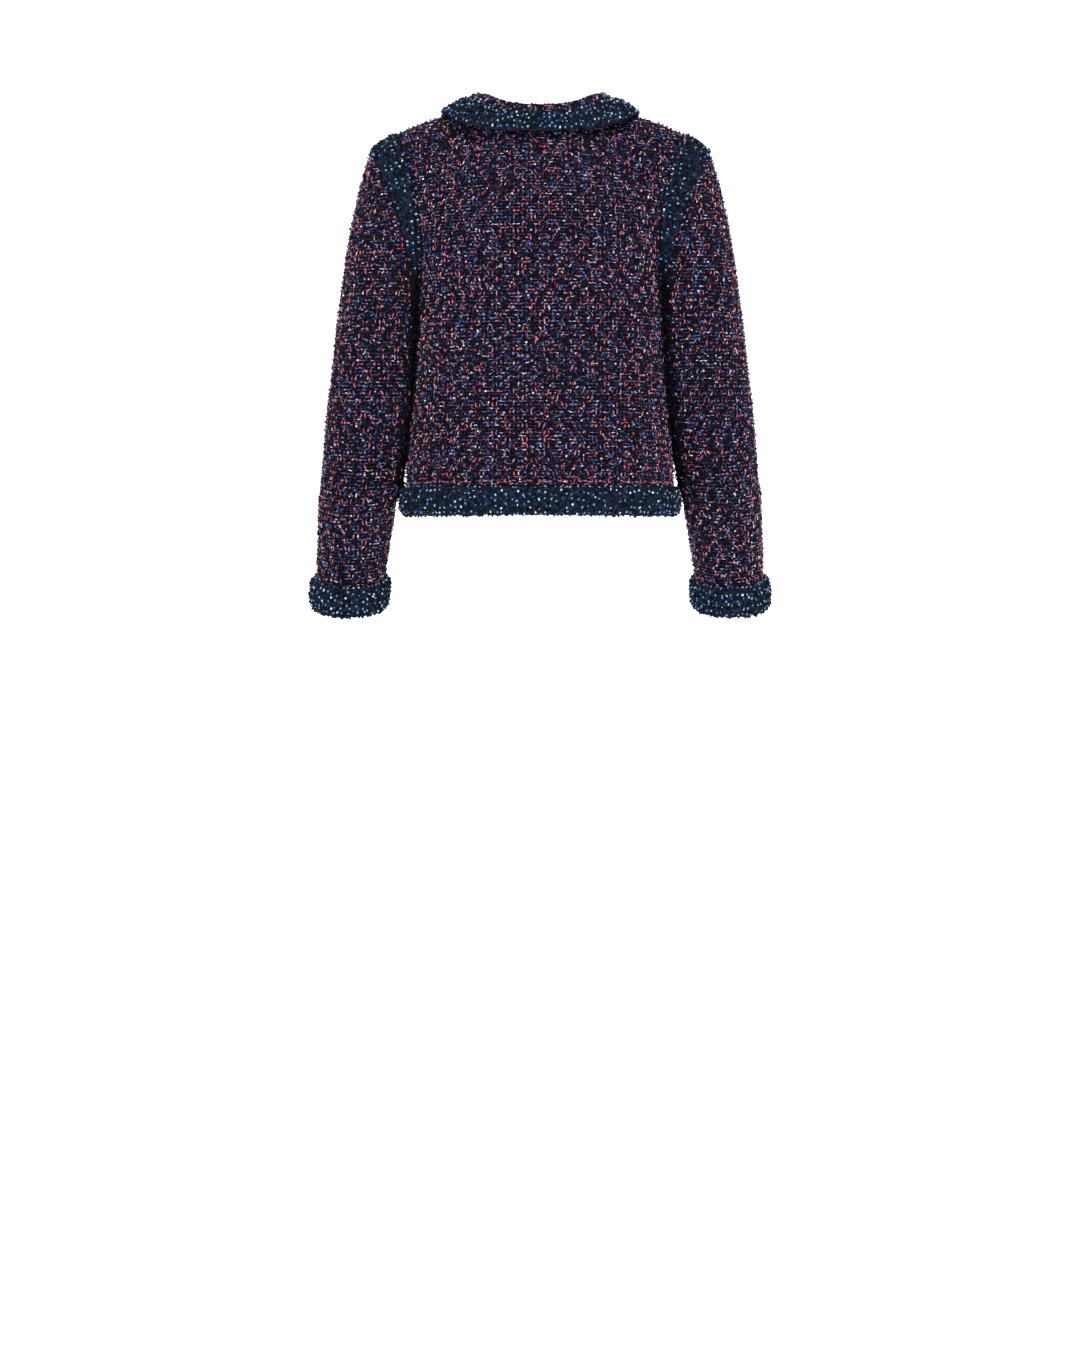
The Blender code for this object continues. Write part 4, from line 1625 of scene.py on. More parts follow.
TWEED_SOWINGS = (
    Sowing(  # wavy weft threads
        Lie.ACROSS, LONG_SLUB,
        (
            Yarn(CORAL, 0.04), Yarn(ROSE, 0.11), Yarn(CHALK, 0.09), Yarn(LILAC, 0.25),
            Yarn(COBALT, 0.14), Yarn(NAVY, 0.18), Yarn(PLUM, 0.19),
        ),
        pitch=(5.2, 4.15), length=(4.0, 6.4), thickness=(0.9, 1.5), lift=0.8,
        shown=0.55, run=0.2, jitter=0.08, wiggle=0.5, tilt=9.0,
    ),
    Sowing(  # warp floats that bridge two rows
        Lie.DOWN, LONG_SLUB,
        (
            Yarn(CORAL, 0.38), Yarn(ROSE, 0.17), Yarn(CHALK, 0.04), Yarn(COBALT, 0.11),
            Yarn(NAVY, 0.10), Yarn(LILAC, 0.12), Yarn(PLUM, 0.08),
        ),
        pitch=(5.2, 8.3), length=(4.2, 7.8), thickness=(1.1, 2.0), lift=1.3,
        shown=0.46, jitter=0.08, wiggle=0.7, offset=0.25, tilt=12.0,
    ),
    Sowing(  # knops of blue and pale yarn
        Lie.KNOT, SHORT_SLUB,
        (Yarn(COBALT, 0.42), Yarn(SKY, 0.24), Yarn(CHALK, 0.26), Yarn(CORAL, 0.08)),
        pitch=(9.0, 9.0), length=(1.9, 3.3), thickness=(1.5, 2.4), lift=0.8,
        shown=0.6,
    ),
    Sowing(  # dark loops that stand up from the ground
        Lie.KNOT, SHORT_SLUB,
        (Yarn(INK, 0.80), Yarn(NAVY, 0.08), Yarn(PLUM, 0.12)),
        pitch=(8.4, 8.3), length=(2.4, 4.2), thickness=(1.9, 3.2), lift=1.5,
        shown=0.72, where=Where.ALL,
    ),
    Sowing(  # dark knots as painted shade, in the cleft where an arm lies against the body and under the collar
        Lie.KNOT, SHORT_SLUB, (Yarn(INK, 0.9), Yarn(NAVY, 0.1)),
        pitch=(4.6, 4.6), length=(2.4, 4.2), thickness=(1.8, 2.8), lift=1.2,
        where=Where.FOLD,
    ),
)
LAST_WEFT = Sowing(  # the coral weft row that runs just above the hem band
    Lie.ACROSS, LONG_SLUB, (Yarn(CORAL, 0.6), Yarn(ROSE, 0.3), Yarn(CHALK, 0.1)),
    pitch=(6.0, 20.0), length=(4.5, 7.0), thickness=(1.2, 1.8), lift=1.2,
    shown=0.8, jitter=0.03, wiggle=0.3, offset=0.0,
)
SEAM_NUBS = Sowing(  # nubs that stand up along a seam
    Lie.KNOT, SHORT_SLUB,
    (Yarn(INK, 0.5), Yarn(NAVY, 0.2), Yarn(COBALT, 0.1), Yarn(LILAC, 0.1), Yarn(CORAL, 0.1)),
    pitch=(5.6, 90.0), length=(2.4, 4.2), thickness=(2.0, 3.3), lift=1.7,
    shown=0.85, jitter=0.03, offset=0.0, rows=(0.007, 0.01),
)
EDGE_STITCHES = Sowing(  # coral stitches along the body's armhole edge
    Lie.ACROSS, LONG_SLUB, (Yarn(CORAL, 0.6), Yarn(ROSE, 0.25), Yarn(LILAC, 0.15)),
    pitch=(8.0, 90.0), length=(3.6, 6.0), thickness=(1.3, 2.0), lift=1.0,
    shown=0.66, jitter=0.12, wiggle=0.3, offset=0.0, rows=(0.03, 0.06),
)
TRIM_SOWINGS = (
    Sowing(  # light knops
        Lie.DOWN, SHORT_SLUB,
        (Yarn(AZURE, 0.40), Yarn(SKY, 0.24), Yarn(COBALT, 0.18), Yarn(ICE, 0.18)),
        pitch=(6.6, 8.2), length=(2.6, 4.4), thickness=(1.8, 2.8), lift=0.9,
        shown=0.8, jitter=0.26, offset=0.32, tilt=34.0,
    ),
    Sowing(  # felted curls of the ground yarn
        Lie.KNOT, SHORT_SLUB, (Yarn(DEEP, 0.62), Yarn(INK, 0.38)),
        pitch=(4.9, 4.9), length=(2.8, 4.8), thickness=(2.0, 3.3), lift=1.3,
        shown=0.75,
    ),
)


# ---- finishes


@dataclass(frozen=True)
class Relief:
    """The small relief of a finish, and how it takes the light."""

    height: float  # in metres
    strength: float = 0.9
    roughness: float = 0.95
    specular: float = 0.05
    sheen: float = 0.02
    sheen_roughness: float = 0.5


@dataclass(frozen=True)
class Noise:
    """A cloudy pattern in a material, by its steps in a metre."""

    scale: float
    detail: float = 2.0
    roughness: float = 0.5


class Nodes:
    """A small helper that builds one material's nodes."""

    def __init__(self, name: str) -> None:
        """Start a material with its shader.

        Args:
            name: The material's name.
        """
        self.material = bpy.data.materials.new(name)
        self.material.use_nodes = True
        self.tree = self.material.node_tree
        self.shader = self.tree.nodes["Principled BSDF"]
        self.place = self.add("TexCoord").outputs["Object"]

    def add(
        self, kind: str, inputs: dict[str | int, object] | None = None, **settings: object,
    ) -> Node:
        """Add a node.

        Args:
            kind: Its type, without the ShaderNode before it.
            inputs: Values or other nodes' outputs, by socket name or number.
            **settings: The node's own properties.

        Returns:
            The node.
        """
        node = self.tree.nodes.new("ShaderNode" + kind)
        for key, value in settings.items():
            setattr(node, key, value)
        for key, value in (inputs or {}).items():
            self.feed(node, key, value)
        return node

    def feed(self, node: Node, key: str | int, value: object) -> None:
        """Set a socket, or link another node's output to it.

        Args:
            node: The node that has the socket.
            key: The socket's name or number.
            value: A value or an output.
        """
        socket = node.inputs[key]
        if isinstance(value, NodeSocket):
            self.tree.links.new(value, socket)
        else:
            socket.default_value = value

    def math(self, operation: str, a: object, b: object = 0.0) -> NodeSocket:
        """One sum of two values."""
        return self.add("Math", {0: a, 1: b}, operation=operation).outputs[0]

    def wave(self, length: object, pitch: float) -> NodeSocket:
        """A sine of a length in metres, whose whole wave takes a pitch in millimetres."""
        return self.math("SINE", self.math("MULTIPLY", length, 2 * math.pi / (pitch * MM)))

    def noise(self, noise: Noise) -> Node:
        """A cloudy pattern over the object."""
        values = {"Scale": noise.scale, "Detail": noise.detail, "Roughness": noise.roughness}
        return self.add("TexNoise", {"Vector": self.place, **values})

    def ramp(self, value: object, stops: Stops, steps: bool = False) -> NodeSocket:
        """A row of colours read by a value.

        Args:
            value: The value's socket.
            stops: Places from 0 to 1, each with its colour.
            steps: Whether a colour stays level up to the next stop.

        Returns:
            The colour's socket.
        """
        node = self.add("ValToRGB", {0: value})
        ramp = node.color_ramp
        ramp.interpolation = "CONSTANT" if steps else "LINEAR"
        while len(ramp.elements) < len(stops):
            ramp.elements.new(1.0)
        for element, (place, colour) in zip(ramp.elements, stops):
            element.position = place
            element.color = (*colour, 1.0)
        return node.outputs[0]

    def mix(self, share: object, a: object, b: object, blend: str = "MIX") -> NodeSocket:
        """Two colours in one.

        Args:
            share: How much of the second counts.
            a, b: The colours.
            blend: How they are put together.

        Returns:
            The colour's socket.
        """
        node = self.add("Mix", data_type="RGBA", blend_type=blend)
        for index, value in ((0, share), (6, a), (7, b)):  # its sockets for colours
            self.feed(node, index, value)
        return node.outputs[2]

    def finish(self, colour: object, height: object, relief: Relief) -> Material:
        """Connect colour and relief to the shader, and set how it takes the light.

        Args:
            colour: The surface colour's socket.
            height: The relief's socket.
            relief: Its height and the shader's constants.

        Returns:
            The material.
        """
        bump = self.add("Bump", {
            "Height": height, "Distance": relief.height, "Strength": relief.strength,
        })
        values = {
            "Base Color": colour, "Normal": bump.outputs[0],
            "Roughness": relief.roughness, "Specular IOR Level": relief.specular,
            "Sheen Weight": relief.sheen, "Sheen Roughness": relief.sheen_roughness,
        }
        for key, value in values.items():
            self.feed(self.shader, key, value)
        return self.material


BLACK = (0.0, 0.0, 0.0)
WHITE = (1.0, 1.0, 1.0)


@dataclass(frozen=True)
class TweedGround:
    """The dark ground weave: warp and weft ribs, heathered fibres, small flecks and painted shade in
    the furrows.
    """

    warp_pitch: float = 5.0
    weft_pitch: float = 4.3
    dark: Colour = linear(8, 8, 16)
    middle: Colour = linear(24, 21, 34)
    flecks: Stops = (
        (0.0, linear(12, 11, 20)), (0.58, linear(28, 30, 54)), (0.74, linear(56, 40, 58)),
        (0.84, linear(40, 54, 104)), (0.90, linear(124, 58, 68)), (0.95, linear(100, 90, 120)),
        (0.985, linear(170, 160, 176)),
    )
    fleck_scale: float = 560.0
    fleck_edge: Stops = ((0.0, WHITE), (0.34, WHITE), (0.62, BLACK))
    # painted shade in the furrows: the colour darkens where the ribs are low
    painted_furrow_shade: Stops = ((0.0, (0.12, 0.12, 0.14)), (0.8, WHITE))
    fibre: Noise = Noise(1500.0, 3.0, 0.7)
    drift: Noise = Noise(260.0)
    drift_by: float = 0.0024
    rib_height: float = 0.34
    fibre_height: float = 0.5
    relief: Relief = Relief(0.0011, specular=0.04, sheen=0.01)

    def ribs(self, n: Nodes) -> NodeSocket:
        """The ribs of the warp and the weft, which pass over one another in turn.

        Args:
            n: The material's nodes.

        Returns:
            Their height's socket.
        """
        weave = n.add("UVMap", uv_map=WEAVE_MAP).outputs[0]
        drift = n.noise(self.drift).outputs[1]
        middle = n.add("VectorMath", {0: drift, 1: (-0.5, -0.5, -0.5)}, operation="ADD").outputs[0]
        small = n.add("VectorMath", {0: middle, "Scale": self.drift_by}, operation="SCALE").outputs[0]
        bent = n.add("VectorMath", {0: weave, 1: small}, operation="ADD").outputs[0]
        across, down = n.add("SeparateXYZ", {0: bent}).outputs[:2]
        turns = n.wave(across, 2 * self.warp_pitch), n.wave(down, 2 * self.weft_pitch)
        over = n.math("MULTIPLY", *turns)
        warp = n.math("ADD", n.wave(across, self.warp_pitch), over)
        weft = n.math("SUBTRACT", n.wave(down, self.weft_pitch), over)
        return n.math("MAXIMUM", warp, weft)

    def material(self) -> Material:
        """The finish of a tweed piece.

        Returns:
            The material.
        """
        n = Nodes("tweed_ground")
        ribs = self.ribs(n)
        fibre = n.noise(self.fibre).outputs[0]
        cells = n.add("TexVoronoi", {"Vector": n.place, "Scale": self.fleck_scale})
        pick = n.add("SeparateColor", {0: cells.outputs["Color"]}).outputs[0]
        fleck = n.ramp(pick, self.flecks, steps=True)
        spot = n.ramp(cells.outputs["Distance"], self.fleck_edge)
        ground = n.mix(fibre, (*self.dark, 1), (*self.middle, 1))
        colour = n.mix(spot, ground, fleck)
        # painted shade: darker down in the furrows between the ribs
        colour = n.mix(1.0, colour, n.ramp(ribs, self.painted_furrow_shade), blend="MULTIPLY")
        rib_height = n.math("MULTIPLY", ribs, self.rib_height)
        height = n.math("ADD", rib_height, n.math("MULTIPLY", fibre, self.fibre_height))
        return n.finish(colour, height, self.relief)


@dataclass(frozen=True)
class YarnFinish:
    """Dyed yarn: its own colour with streaks of fibre."""

    streaks: Noise = Noise(2200.0)
    tones: Stops = ((0.3, (0.62, 0.62, 0.62)), (0.7, WHITE))
    relief: Relief = Relief(0.0003, 0.7, roughness=0.85, specular=0.08, sheen_roughness=0.4)

    def material(self) -> Material:
        """The finish of a piece's floats.

        Returns:
            The material.
        """
        n = Nodes("tweed_yarn")
        dye = n.add("Attribute", attribute_name=YARN_COLOUR).outputs[0]
        fibre = n.noise(self.streaks).outputs[0]
        colour = n.mix(1.0, dye, n.ramp(fibre, self.tones), blend="MULTIPLY")
        return n.finish(colour, fibre, self.relief)


@dataclass(frozen=True)
class FeltedTrim:
    """Dark felted yarn of the bands, soft and matted, with painted shade in the hollows between its
    curls.
    """

    # colour by height: random matting, and painted shade where the curls' hollows lie low
    tones: Stops = ((0.32, linear(1, 4, 8)), (0.78, linear(37, 49, 71)))
    matting: Noise = Noise(190.0, 4.0, 0.65)
    fibre: Noise = Noise(1700.0)
    fibre_height: float = 0.35
    curl_scale: float = 330.0
    curl_depth: float = 0.5
    relief: Relief = Relief(0.0018)

    def material(self) -> Material:
        """The finish of a band.

        Returns:
            The material.
        """
        n = Nodes("felted_trim")
        fibre = n.math("MULTIPLY", n.noise(self.fibre).outputs[0], self.fibre_height)
        matted = n.math("ADD", n.noise(self.matting).outputs[0], fibre)
        curl = n.add("TexVoronoi", {"Vector": n.place, "Scale": self.curl_scale}, feature="SMOOTH_F1")
        curls = n.math("MULTIPLY", curl.outputs["Distance"], self.curl_depth)
        # the colour follows this height, so the hollows between the curls carry painted shade
        raised = n.math("SUBTRACT", matted, curls)
        return n.finish(n.ramp(raised, self.tones), raised, self.relief)


@dataclass(frozen=True)
class StagePaint:
    """The plain pale paper behind and under the part."""

    colour: Colour = (0.88, 0.88, 0.88)
    roughness: float = 0.9
    glow: float = 0.35

    def material(self) -> Material:
        """The finish of the stage.

        Returns:
            The material.
        """
        n = Nodes("paper")
        values = {
            "Base Color": (*self.colour, 1), "Roughness": self.roughness,
            "Emission Color": (*WHITE, 1), "Emission Strength": self.glow,
        }
        for key, value in values.items():
            n.feed(n.shader, key, value)
        return n.material


# ---- the jacket


@dataclass
class Jacket:
    """What the sub-assemblies are sewn from: the pattern's grids, the form and the finishes."""

    cloth: Cloth = Cloth()
    torso: Torso = Torso()
    armhole: Armhole = Armhole()
    sleeve: Sleeve = Sleeve()
    collar: Collar = Collar()
    pieces: int = 0
    triangles: int = 0

    def __post_init__(self) -> None:
        """Make the pattern's grids, the shared normals and the finishes."""
        self.grids = self.torso.grids()
        self.body = list(self.grids.values())
        trim = self.armhole.trim_grid()
        sleeve = self.sleeve.grid()
        self.tubes = {
            "armhole_trim_left": trim, "armhole_trim_right": mirrored(trim),
            "sleeve_left": sleeve, "sleeve_right": mirrored(sleeve),
        }
        self.grids.update(self.tubes)
        middle = self.collar.grid(self.body)
        self.collar_face, self.collar_back = self.collar.faces(middle, self.cloth)
        self.skin = Skin()
        for name, grid in self.grids.items():
            self.skin.add(grid, closed=name in self.tubes)
        self.grounds = {Slot.TWEED: TweedGround().material(), Slot.TRIM: FeltedTrim().material()}
        self.yarn = YarnFinish().material()

    def face(self, name: str, spacing: float) -> Surface:
        """The fine outer face of a piece of the pattern."""
        grid = self.grids[name]
        return Surface(grid, self.skin.normals(grid), spacing, name in self.tubes)

    def dress(self, piece: Object, slot: Slot, node: str = "") -> None:
        """Give a piece its finish, chosen by its slot, and its body, and count it.

        Args:
            piece: The made object.
            slot: The record's slot that it takes its finish from.
            node: The CAD node that it stands for, or nothing for yarns that lie on one.
        """
        piece.data.materials.append(self.grounds[slot] if node else self.yarn)
        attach(piece, BODY)
        if node:
            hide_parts(node)
        count = sum(len(face.vertices) - 2 for face in piece.data.polygons)
        self.pieces += 1
        self.triangles += count
        log.info("%s: %d triangles", piece.name, count)


@dataclass
class Assembly:
    """What every sub-assembly does with its cloth and its bands."""

    jacket: Jacket
    tweed_spacing: float = 7.6
    trim_spacing: float = 3.2
    weft_sunk: float = 0.25
    leans_down_to: Pair = (-440.0, -402.0)  # where the wedges open, on the left and right
    # height over which the dark knots of painted shade fade in above the wedge
    painted_shade_fade: float = 20.0
    felt: Unevenness = Unevenness(height=0.6, shortest=7.0, longest=22.0, waves=30, seed=21)
    swells: Unevenness = Unevenness()
    creases: dict[str, tuple[Crease, ...]] = field(default_factory=sewn_creases)

    @staticmethod
    def share_clear(face: Surface, grids: list[Array], limits: Pair) -> Array:
        """How clear of some grids a face is, from 0 at the first limit to 1 at the second."""
        near, far = limits
        return np.clip((face.clearance(grids) - near) / (far - near), 0, 1)

    def unshaded_share(self, face: Surface) -> Array:
        """Share of the floats kept: all, where no shade is painted on the piece."""
        return np.ones((*face.points.shape[:2], 1))

    def above_wedge(self, face: Surface, fade: float) -> Array:
        """How far points lie above the wedge that opens between an arm and the hem.

        Args:
            face: The face.
            fade: The height over which the share rises from 0 to 1.

        Returns:
            A share for each point.
        """
        left, right = self.leans_down_to
        lowest = np.where(face.points[..., 0] < 0, right, left)
        return np.clip((face.points[..., 2] - lowest) / fade, 0, 1)

    def make_cloth(self, name: str, face: Surface, edges: RolledEdge) -> Object:
        """The tweed wall of a panel or sleeve.

        Args:
            name: Its node.
            face: Its worn face, which is rounded down into the seams here.
            edges: Which edges are rounded.

        Returns:
            The dressed piece.
        """
        wall = self.jacket.cloth.wall
        inner = face.points - face.normals * wall
        face.roll_edges(edges)
        face.raise_by(np.full_like(face.down, -self.weft_sunk))
        piece = Loop.wall(face, inner, wall).make(name + "_cloth")
        self.jacket.dress(piece, Slot.TWEED, name)
        return piece

    def make_yarns(self, name: str, face: Surface, extra: tuple[Sowing, ...] = ()) -> Object:
        """The floats and knops that lie on a tweed piece.

        Args:
            name: The piece's node.
            face: Its face.
            extra: Sowings that this piece has besides.

        Returns:
            The dressed piece.
        """
        bed = Bed(face, SEEDS[name])
        # floats are left out beside the arms and under the collar, and dark knots sown there, as
        # painted shade
        bed.unshaded_share = self.unshaded_share(face)
        bed.fold = (1 - bed.unshaded_share) * self.above_wedge(face, self.painted_shade_fade)[..., None]
        for sowing in TWEED_SOWINGS + extra:
            bed.sow(sowing)
        face.grain = face.down[:, : face.points.shape[1]].copy()
        bed.sow(SEAM_NUBS)
        yarns = bed.make(name + "_yarns")
        self.jacket.dress(yarns, Slot.TWEED)
        return yarns

    def declare(self, piece: Object, face: Surface, yarns: Object) -> None:
        """Measure the flat cut of a piece of cloth; the sizes are not used further.

        Args:
            piece: Not used.
            face: Its face, whose lengths and area are those of the flat piece.
            yarns: Not used.
        """
        width, length = face.width() * MM, face.height() * MM

    def make_knops(
        self, name: str, face: Surface, rows: Pair, shown: float, extra: tuple[Sowing, ...] = (),
    ) -> None:
        """The knops and felted curls that lie on a band.

        Args:
            name: The band's name.
            face: Its padded face.
            rows: Shares of its width between which they lie.
            shown: How many of the light knops show.
            extra: Sowings that this band has besides.
        """
        bed = Bed(face, SEEDS[name])
        light, curls = TRIM_SOWINGS
        for sowing in (replace(light, rows=rows, shown=shown), replace(curls, rows=rows), *extra):
            bed.sow(sowing)
        self.jacket.dress(bed.make(name + "_knops"), Slot.TRIM)

    def make_band(self, name: str, band: Band, faces: list[Array], closed: bool) -> None:
        """A padded band turned round an edge, with its knops.

        Args:
            name: Its node.
            band: Its sizes.
            faces: The outer and the inner face of the cloth's end.
            closed: Whether the band closes round an arm.
        """
        shown, hidden = band.section(*faces)
        skin = Skin()
        skin.add(shown, closed)
        face = Surface(shown, skin.normals(shown), self.trim_spacing, closed)
        down = np.linspace(0, 1, len(face.points))[:, None]
        face.swell(self.felt, np.sqrt(np.sin(np.pi * down)))
        fine_hidden = refined_lines(hidden, face.points.shape[1], closed)
        piece = Loop.band(face, fine_hidden).make(name + "_padding")
        self.jacket.dress(piece, Slot.TRIM, name)
        self.make_knops(name, face, band.knop_rows, band.knops_shown)


@dataclass
class Body(Assembly):
    """The back and the two fronts."""

    edges: RolledEdge = RolledEdge("tse")
    weft_fall: WeftFall = WeftFall()
    last_weft: Pair = (4.0, 0.005)  # its height above the hem band, and its span
    beside_arms: Pair = (11.0, 19.0)  # painted shade beside the arms: no floats at the first distance, all at the second
    # painted shadow under the collar: no floats at the first distance, all at the second
    under_collar: Pair = (6.5, 14.0)

    def unshaded_share(self, face: Surface) -> Array:
        """Share of the floats kept: none beside the arms and right under the collar, where the bare
        dark ground and dark knots are painted shade.

        Args:
            face: A panel's face.

        Returns:
            A share for each point.
        """
        sleeves = [self.jacket.grids["sleeve_" + side.value] for side in Side]
        closed = [np.concatenate((grid, grid[:, :1]), axis=1) for grid in sleeves]
        beside_arms = self.share_clear(face, closed, self.beside_arms)
        # painted shadow under the collar: floats left out, dark knots sown in their place
        below_collar = self.share_clear(face, [self.jacket.collar_face], self.under_collar)
        return np.minimum(beside_arms, below_collar)

    def make_panel(self, name: str, origin: float) -> None:
        """A panel with its yarns, and with the coral row above the hem band.

        Args:
            name: Its node.
            origin: Share of the width where the straight grain runs.
        """
        face = self.jacket.face(name, self.tweed_spacing)
        face.level_rows(origin, self.weft_fall)
        face.press(self.creases[name])
        face.swell(self.swells)
        piece = self.make_cloth(name, face, self.edges)
        height, span = self.last_weft
        last = face.share_at(self.jacket.cloth.hem_top + height)
        row = replace(LAST_WEFT, rows=(last, last + span))
        self.declare(piece, face, self.make_yarns(name, face, (row,)))

    def build(self) -> None:
        """Make the back and the fronts, which are cut from the centre front."""
        self.make_panel("back", 0.5)
        self.make_panel("front_left", 1.0)
        self.make_panel("front_right", 0.0)


@dataclass
class Arm(Assembly):
    """A sleeve, the padded band in its armhole and the cuff on its end."""

    side: Side = Side.LEFT
    edges: RolledEdge = RolledEdge("t")
    beside_body: Pair = (8.0, 18.0)  # painted shade beside the body: no floats at the first distance, all at the second
    pressed_gap: float = 0.6
    leans_over: Pair = (4.0, 9.0)  # wholly at the first distance, not at the second
    leans_below: float = 6.0
    lean_fade: float = 40.0
    trim_edges: RolledEdge = RolledEdge("tb", depth=0.8, reach=1.6)
    trim_pad: float = 3.0
    full_pad_width: float = 30.0
    pad_roundness: float = 0.6
    trim_knops: float = 0.6
    trim_fill: float = 0.5
    underarm_fullness: tuple[Crease, ...] = (Crease(0.0, 0.5, 56, 7, -3.2),)
    cuff: Band = Band(padding=(7.5, 6.0, 3.0), knops_shown=1.0)

    def unshaded_share(self, face: Surface) -> Array:
        """Share of the floats kept: none beside the body, where the bare dark ground and dark knots
        are painted shade in the cleft between arm and body.
        """
        return self.share_clear(face, self.jacket.body, self.beside_body)

    def rest_on_body(self, face: Surface) -> None:
        """Let the sleeve's inner side lie against the body, as a hanging arm does.

        Args:
            face: The sleeve's face.
        """
        apart = face.clearance(self.jacket.body)[..., 0]
        near, far = self.leans_over
        close = np.clip((far - apart) / (far - near), 0, 1)
        low = np.clip(face.down[:, : apart.shape[1]] / self.leans_below, 0, 1)
        reach = np.maximum(apart - self.pressed_gap, 0) * close
        face.raise_by(reach * self.above_wedge(face, self.lean_fade) * low)

    def make_trim(self, name: str) -> None:
        """The padded band set between the body and the sleeve.

        Args:
            name: Its node.
        """
        wall = self.jacket.cloth.wall
        face = self.jacket.face(name, self.trim_spacing)
        inner = face.points - face.normals * wall
        width = face.down[-1:]
        share = np.clip(face.down / np.maximum(width, TINY), 0, 1)
        pad = self.trim_pad * np.minimum(1.0, (width / self.full_pad_width) ** 2)
        face.raise_by(pad * np.sin(np.pi * share) ** self.pad_roundness)
        face.press(self.underarm_fullness)
        face.swell(self.felt)
        face.roll_edges(self.trim_edges)
        piece = Loop.wall(face, inner, wall).make(name + "_padding")
        self.jacket.dress(piece, Slot.TRIM, name)
        face.grain = face.down.copy()
        self.make_knops(name, face, (0.0, 1.0), self.trim_knops, (EDGE_STITCHES,))

    def make_sleeve(self, name: str) -> None:
        """The tweed sleeve with its yarns.

        Args:
            name: Its node.
        """
        face = self.jacket.face(name, self.tweed_spacing)
        face.level_weft(self.jacket.sleeve.rings[0][0])
        face.press(self.creases[name])
        face.swell(self.swells)
        self.rest_on_body(face)
        piece = self.make_cloth(name, face, self.edges)
        self.declare(piece, face, self.make_yarns(name, face))

    def build(self) -> None:
        """Make the armhole's band, the sleeve and the cuff."""
        sleeve = "sleeve_" + self.side.value
        self.make_trim("armhole_trim_" + self.side.value)
        self.make_sleeve(sleeve)
        grid = self.jacket.grids[sleeve]
        outer = grid[-2:]
        inner = outer - self.jacket.skin.normals(grid)[-2:] * self.jacket.cloth.wall
        self.make_band("cuff_" + self.side.value, self.cuff, [outer, inner], True)


@dataclass
class Hem(Assembly):
    """The band turned round the hem, open at the centre front."""

    band: Band = Band(padding=(7.0, 6.0, 3.0))

    def build(self) -> None:
        """Make the band from the right front round the back to the left front."""
        order = ("front_right", "back", "front_left")
        ends = [self.jacket.grids[key][-2:, (k > 0):] for k, key in enumerate(order)]
        line = np.concatenate(ends, axis=1)
        outer = line.copy()
        outer[:, 0, 0] -= self.jacket.cloth.seam_gap / 2
        outer[:, -1, 0] += self.jacket.cloth.seam_gap / 2
        inner = outer - self.jacket.skin.normals(line) * self.jacket.cloth.wall
        self.make_band("hem_trim", self.band, [outer, inner], False)


@dataclass
class RollCollar(Assembly):
    """The tweed collar and the dark band on its free edge."""

    spacing: float = 4.56
    edges: RolledEdge = RolledEdge("tse", depth=0.6)
    band: Band = Band(padding=(3.6, 4.2, 1.5))
    band_start: float = 0.12

    def build(self) -> None:
        """Make the collar with its yarns, and its band."""
        outer, inner = self.jacket.collar_face, self.jacket.collar_back
        face = Surface(outer, unit(outer - inner), self.spacing, False)
        behind = refined(inner, *face.points.shape[:2], False)
        face.roll_edges(self.edges)
        piece = Loop.wall(face, behind, self.jacket.collar.wall).make("collar_cloth")
        self.jacket.dress(piece, Slot.TWEED, "collar")
        self.declare(piece, face, self.make_yarns("collar", face))
        strips = [
            np.concatenate((line_at(side[-3:], self.band_start)[None], side[-2:]))
            for side in (outer, inner)
        ]
        self.make_band("collar_trim", self.band, strips, False)


def refined_lines(lines: Array, columns: int, closed: bool) -> Array:
    """Lines of stations with more stations, the lines themselves unchanged.

    Args:
        lines: Lines of stations, one below another.
        columns: How many stations each line gets.
        closed: Whether the last station joins the first.

    Returns:
        The fine lines.
    """
    old = lines.shape[1]
    places = np.linspace(0, old if closed else old - 1, columns, endpoint=not closed)
    return np.einsum("bj,ajk->abk", spline_weights(old, places, closed), lines)


# ---- stage


@dataclass(frozen=True)
class Lamp:
    """A soft square lamp that points at the part, in metres and watts."""

    name: str
    place: Triple
    size: float
    power: float
    aim: Triple = (0.0, 0.0, -0.3)

    def hang(self) -> None:
        """Add the lamp to the scene."""
        data = bpy.data.lights.new(self.name, "AREA")
        data.size = self.size
        data.energy = self.power
        lamp = linked(bpy.data.objects.new(self.name, data))
        lamp.location = self.place
        heading = Vector(self.aim) - lamp.location
        lamp.rotation_euler = heading.to_track_quat("-Z", "Y").to_euler()


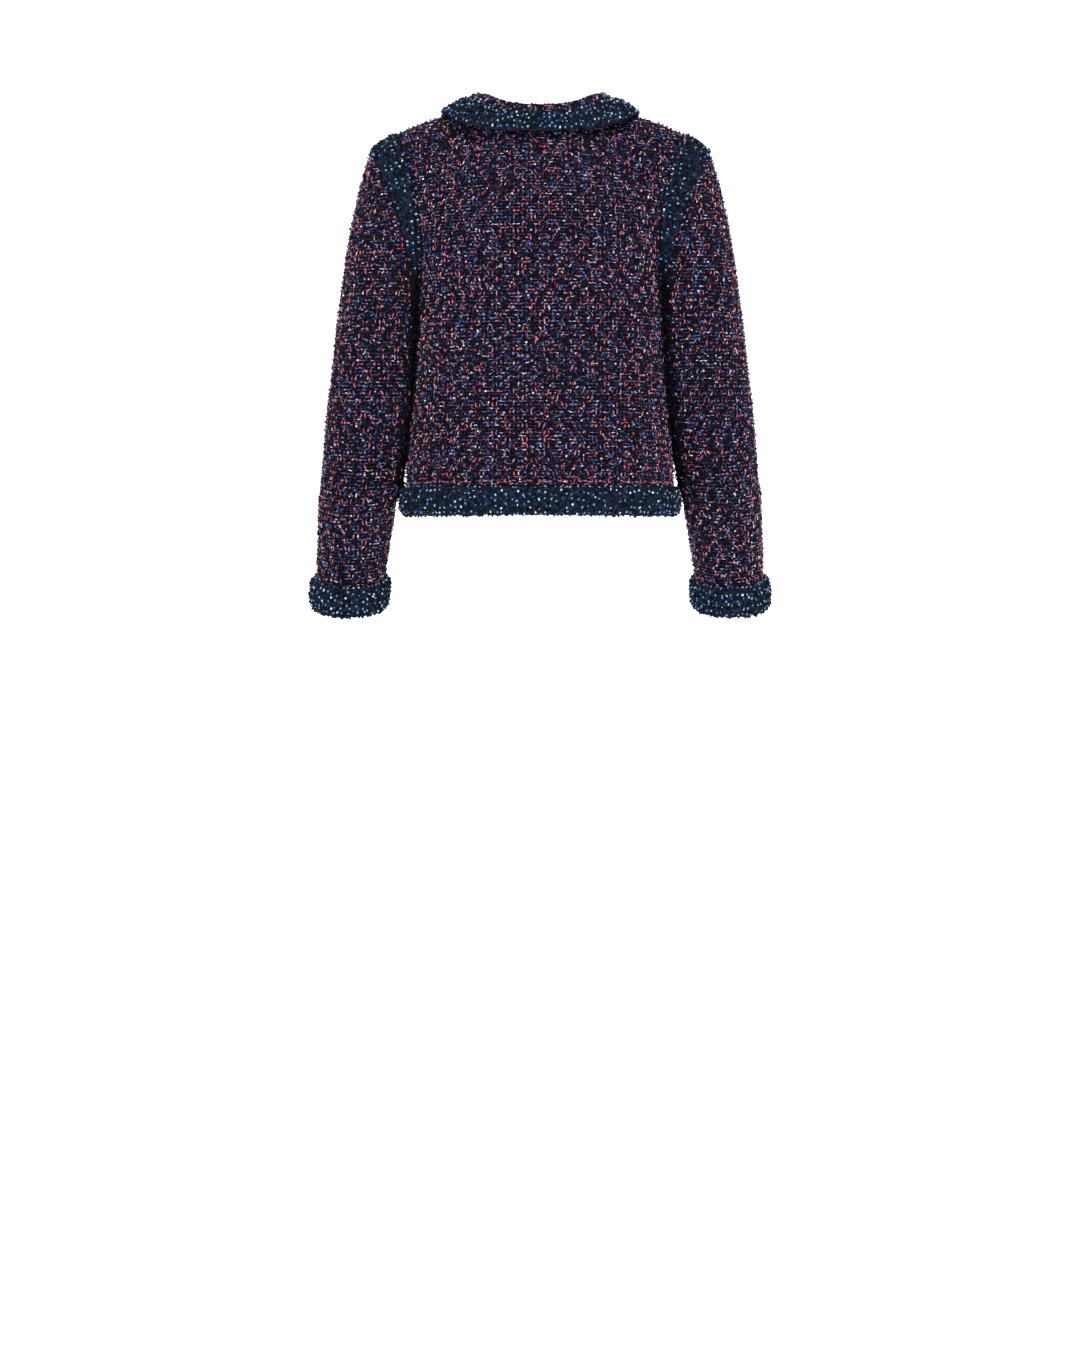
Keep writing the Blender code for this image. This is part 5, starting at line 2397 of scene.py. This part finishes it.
@dataclass(frozen=True)
class Studio:
    """Pale floor and backdrop, soft lamps and the camera, in metres."""

    camera_distance: float = 5.5
    camera_height: float = -0.680
    frame_height: float = 1.647
    sensor: float = 24.0
    farthest_seen: float = 60.0
    floor_height: float = -1.56
    backdrop: float = -3.2
    backdrop_top: float = 9.0
    curve: float = 1.4
    curve_cells: int = 12
    half_width: float = 9.0
    reach: float = 9.0
    light_around: float = 0.5
    lamps: tuple[Lamp, ...] = (
        Lamp("key", (-1.2, 3.4, 2.5), 1.5, 190.0),
        Lamp("fill", (1.9, 3.6, 0.3), 2.0, 62.0),
        Lamp("front_fill", (0.6, -2.2, 1.6), 1.8, 70.0),
    )

    def make_camera(self) -> None:
        """The camera, level behind the part."""
        data = bpy.data.cameras.new("camera")
        data.sensor_fit = "VERTICAL"
        data.sensor_height = self.sensor
        data.lens = self.sensor * self.camera_distance / self.frame_height
        data.clip_end = self.farthest_seen
        camera = linked(bpy.data.objects.new("camera", data))
        camera.location = (0.0, self.camera_distance, self.camera_height)
        camera.rotation_euler = (math.radians(90), 0.0, math.radians(180))
        bpy.context.scene.camera = camera

    def make_paper(self) -> None:
        """One sheet of paper that curves from the floor up the backdrop."""
        line = [(self.reach, 0.0)]
        for k in range(self.curve_cells + 1):
            turn = math.pi / 2 * k / self.curve_cells
            back = self.backdrop + self.curve * (1 - math.sin(turn))
            line.append((back, self.curve * (1 - math.cos(turn))))
        line.append((self.backdrop, self.backdrop_top))
        edges = (-self.half_width, self.half_width)
        points = [(x, y, self.floor_height + z) for y, z in line for x in edges]
        faces = [(2 * k, 2 * k + 1, 2 * k + 3, 2 * k + 2) for k in range(len(line) - 1)]
        mesh = bpy.data.meshes.new("paper")
        mesh.from_pydata(points, [], faces)
        mesh.shade_smooth()
        mesh.materials.append(StagePaint().material())
        linked(bpy.data.objects.new("paper", mesh))

    def make_light(self) -> None:
        """The lamps and the pale light all round."""
        world = bpy.data.worlds.new("studio")
        world.use_nodes = True
        background = world.node_tree.nodes["Background"]
        background.inputs["Color"].default_value = (*WHITE, 1.0)
        background.inputs["Strength"].default_value = self.light_around
        bpy.context.scene.world = world
        for lamp in self.lamps:
            lamp.hang()

    def build(self) -> None:
        """Set up the stage, the light and the camera."""
        bpy.context.scene.view_settings.view_transform = "Standard"
        self.make_paper()
        self.make_light()
        self.make_camera()


def corners(box: tuple[Vector, Vector]) -> list[list[float]]:
    """A box's two corners as plain numbers."""
    return [[float(value) for value in corner] for corner in box]


def main() -> None:
    """Build the jacket in the order of sewing, then its stage."""
    logging.basicConfig(level=logging.INFO, format="%(name)s: %(message)s")
    jacket = Jacket()
    Body(jacket).build()
    Arm(jacket, side=Side.LEFT).build()
    Arm(jacket, side=Side.RIGHT).build()
    Hem(jacket).build()
    RollCollar(jacket).build()
    log.info("jacket: %d pieces, %d triangles", jacket.pieces, jacket.triangles)
    Studio().build()


if __name__ == "__main__":
    main()
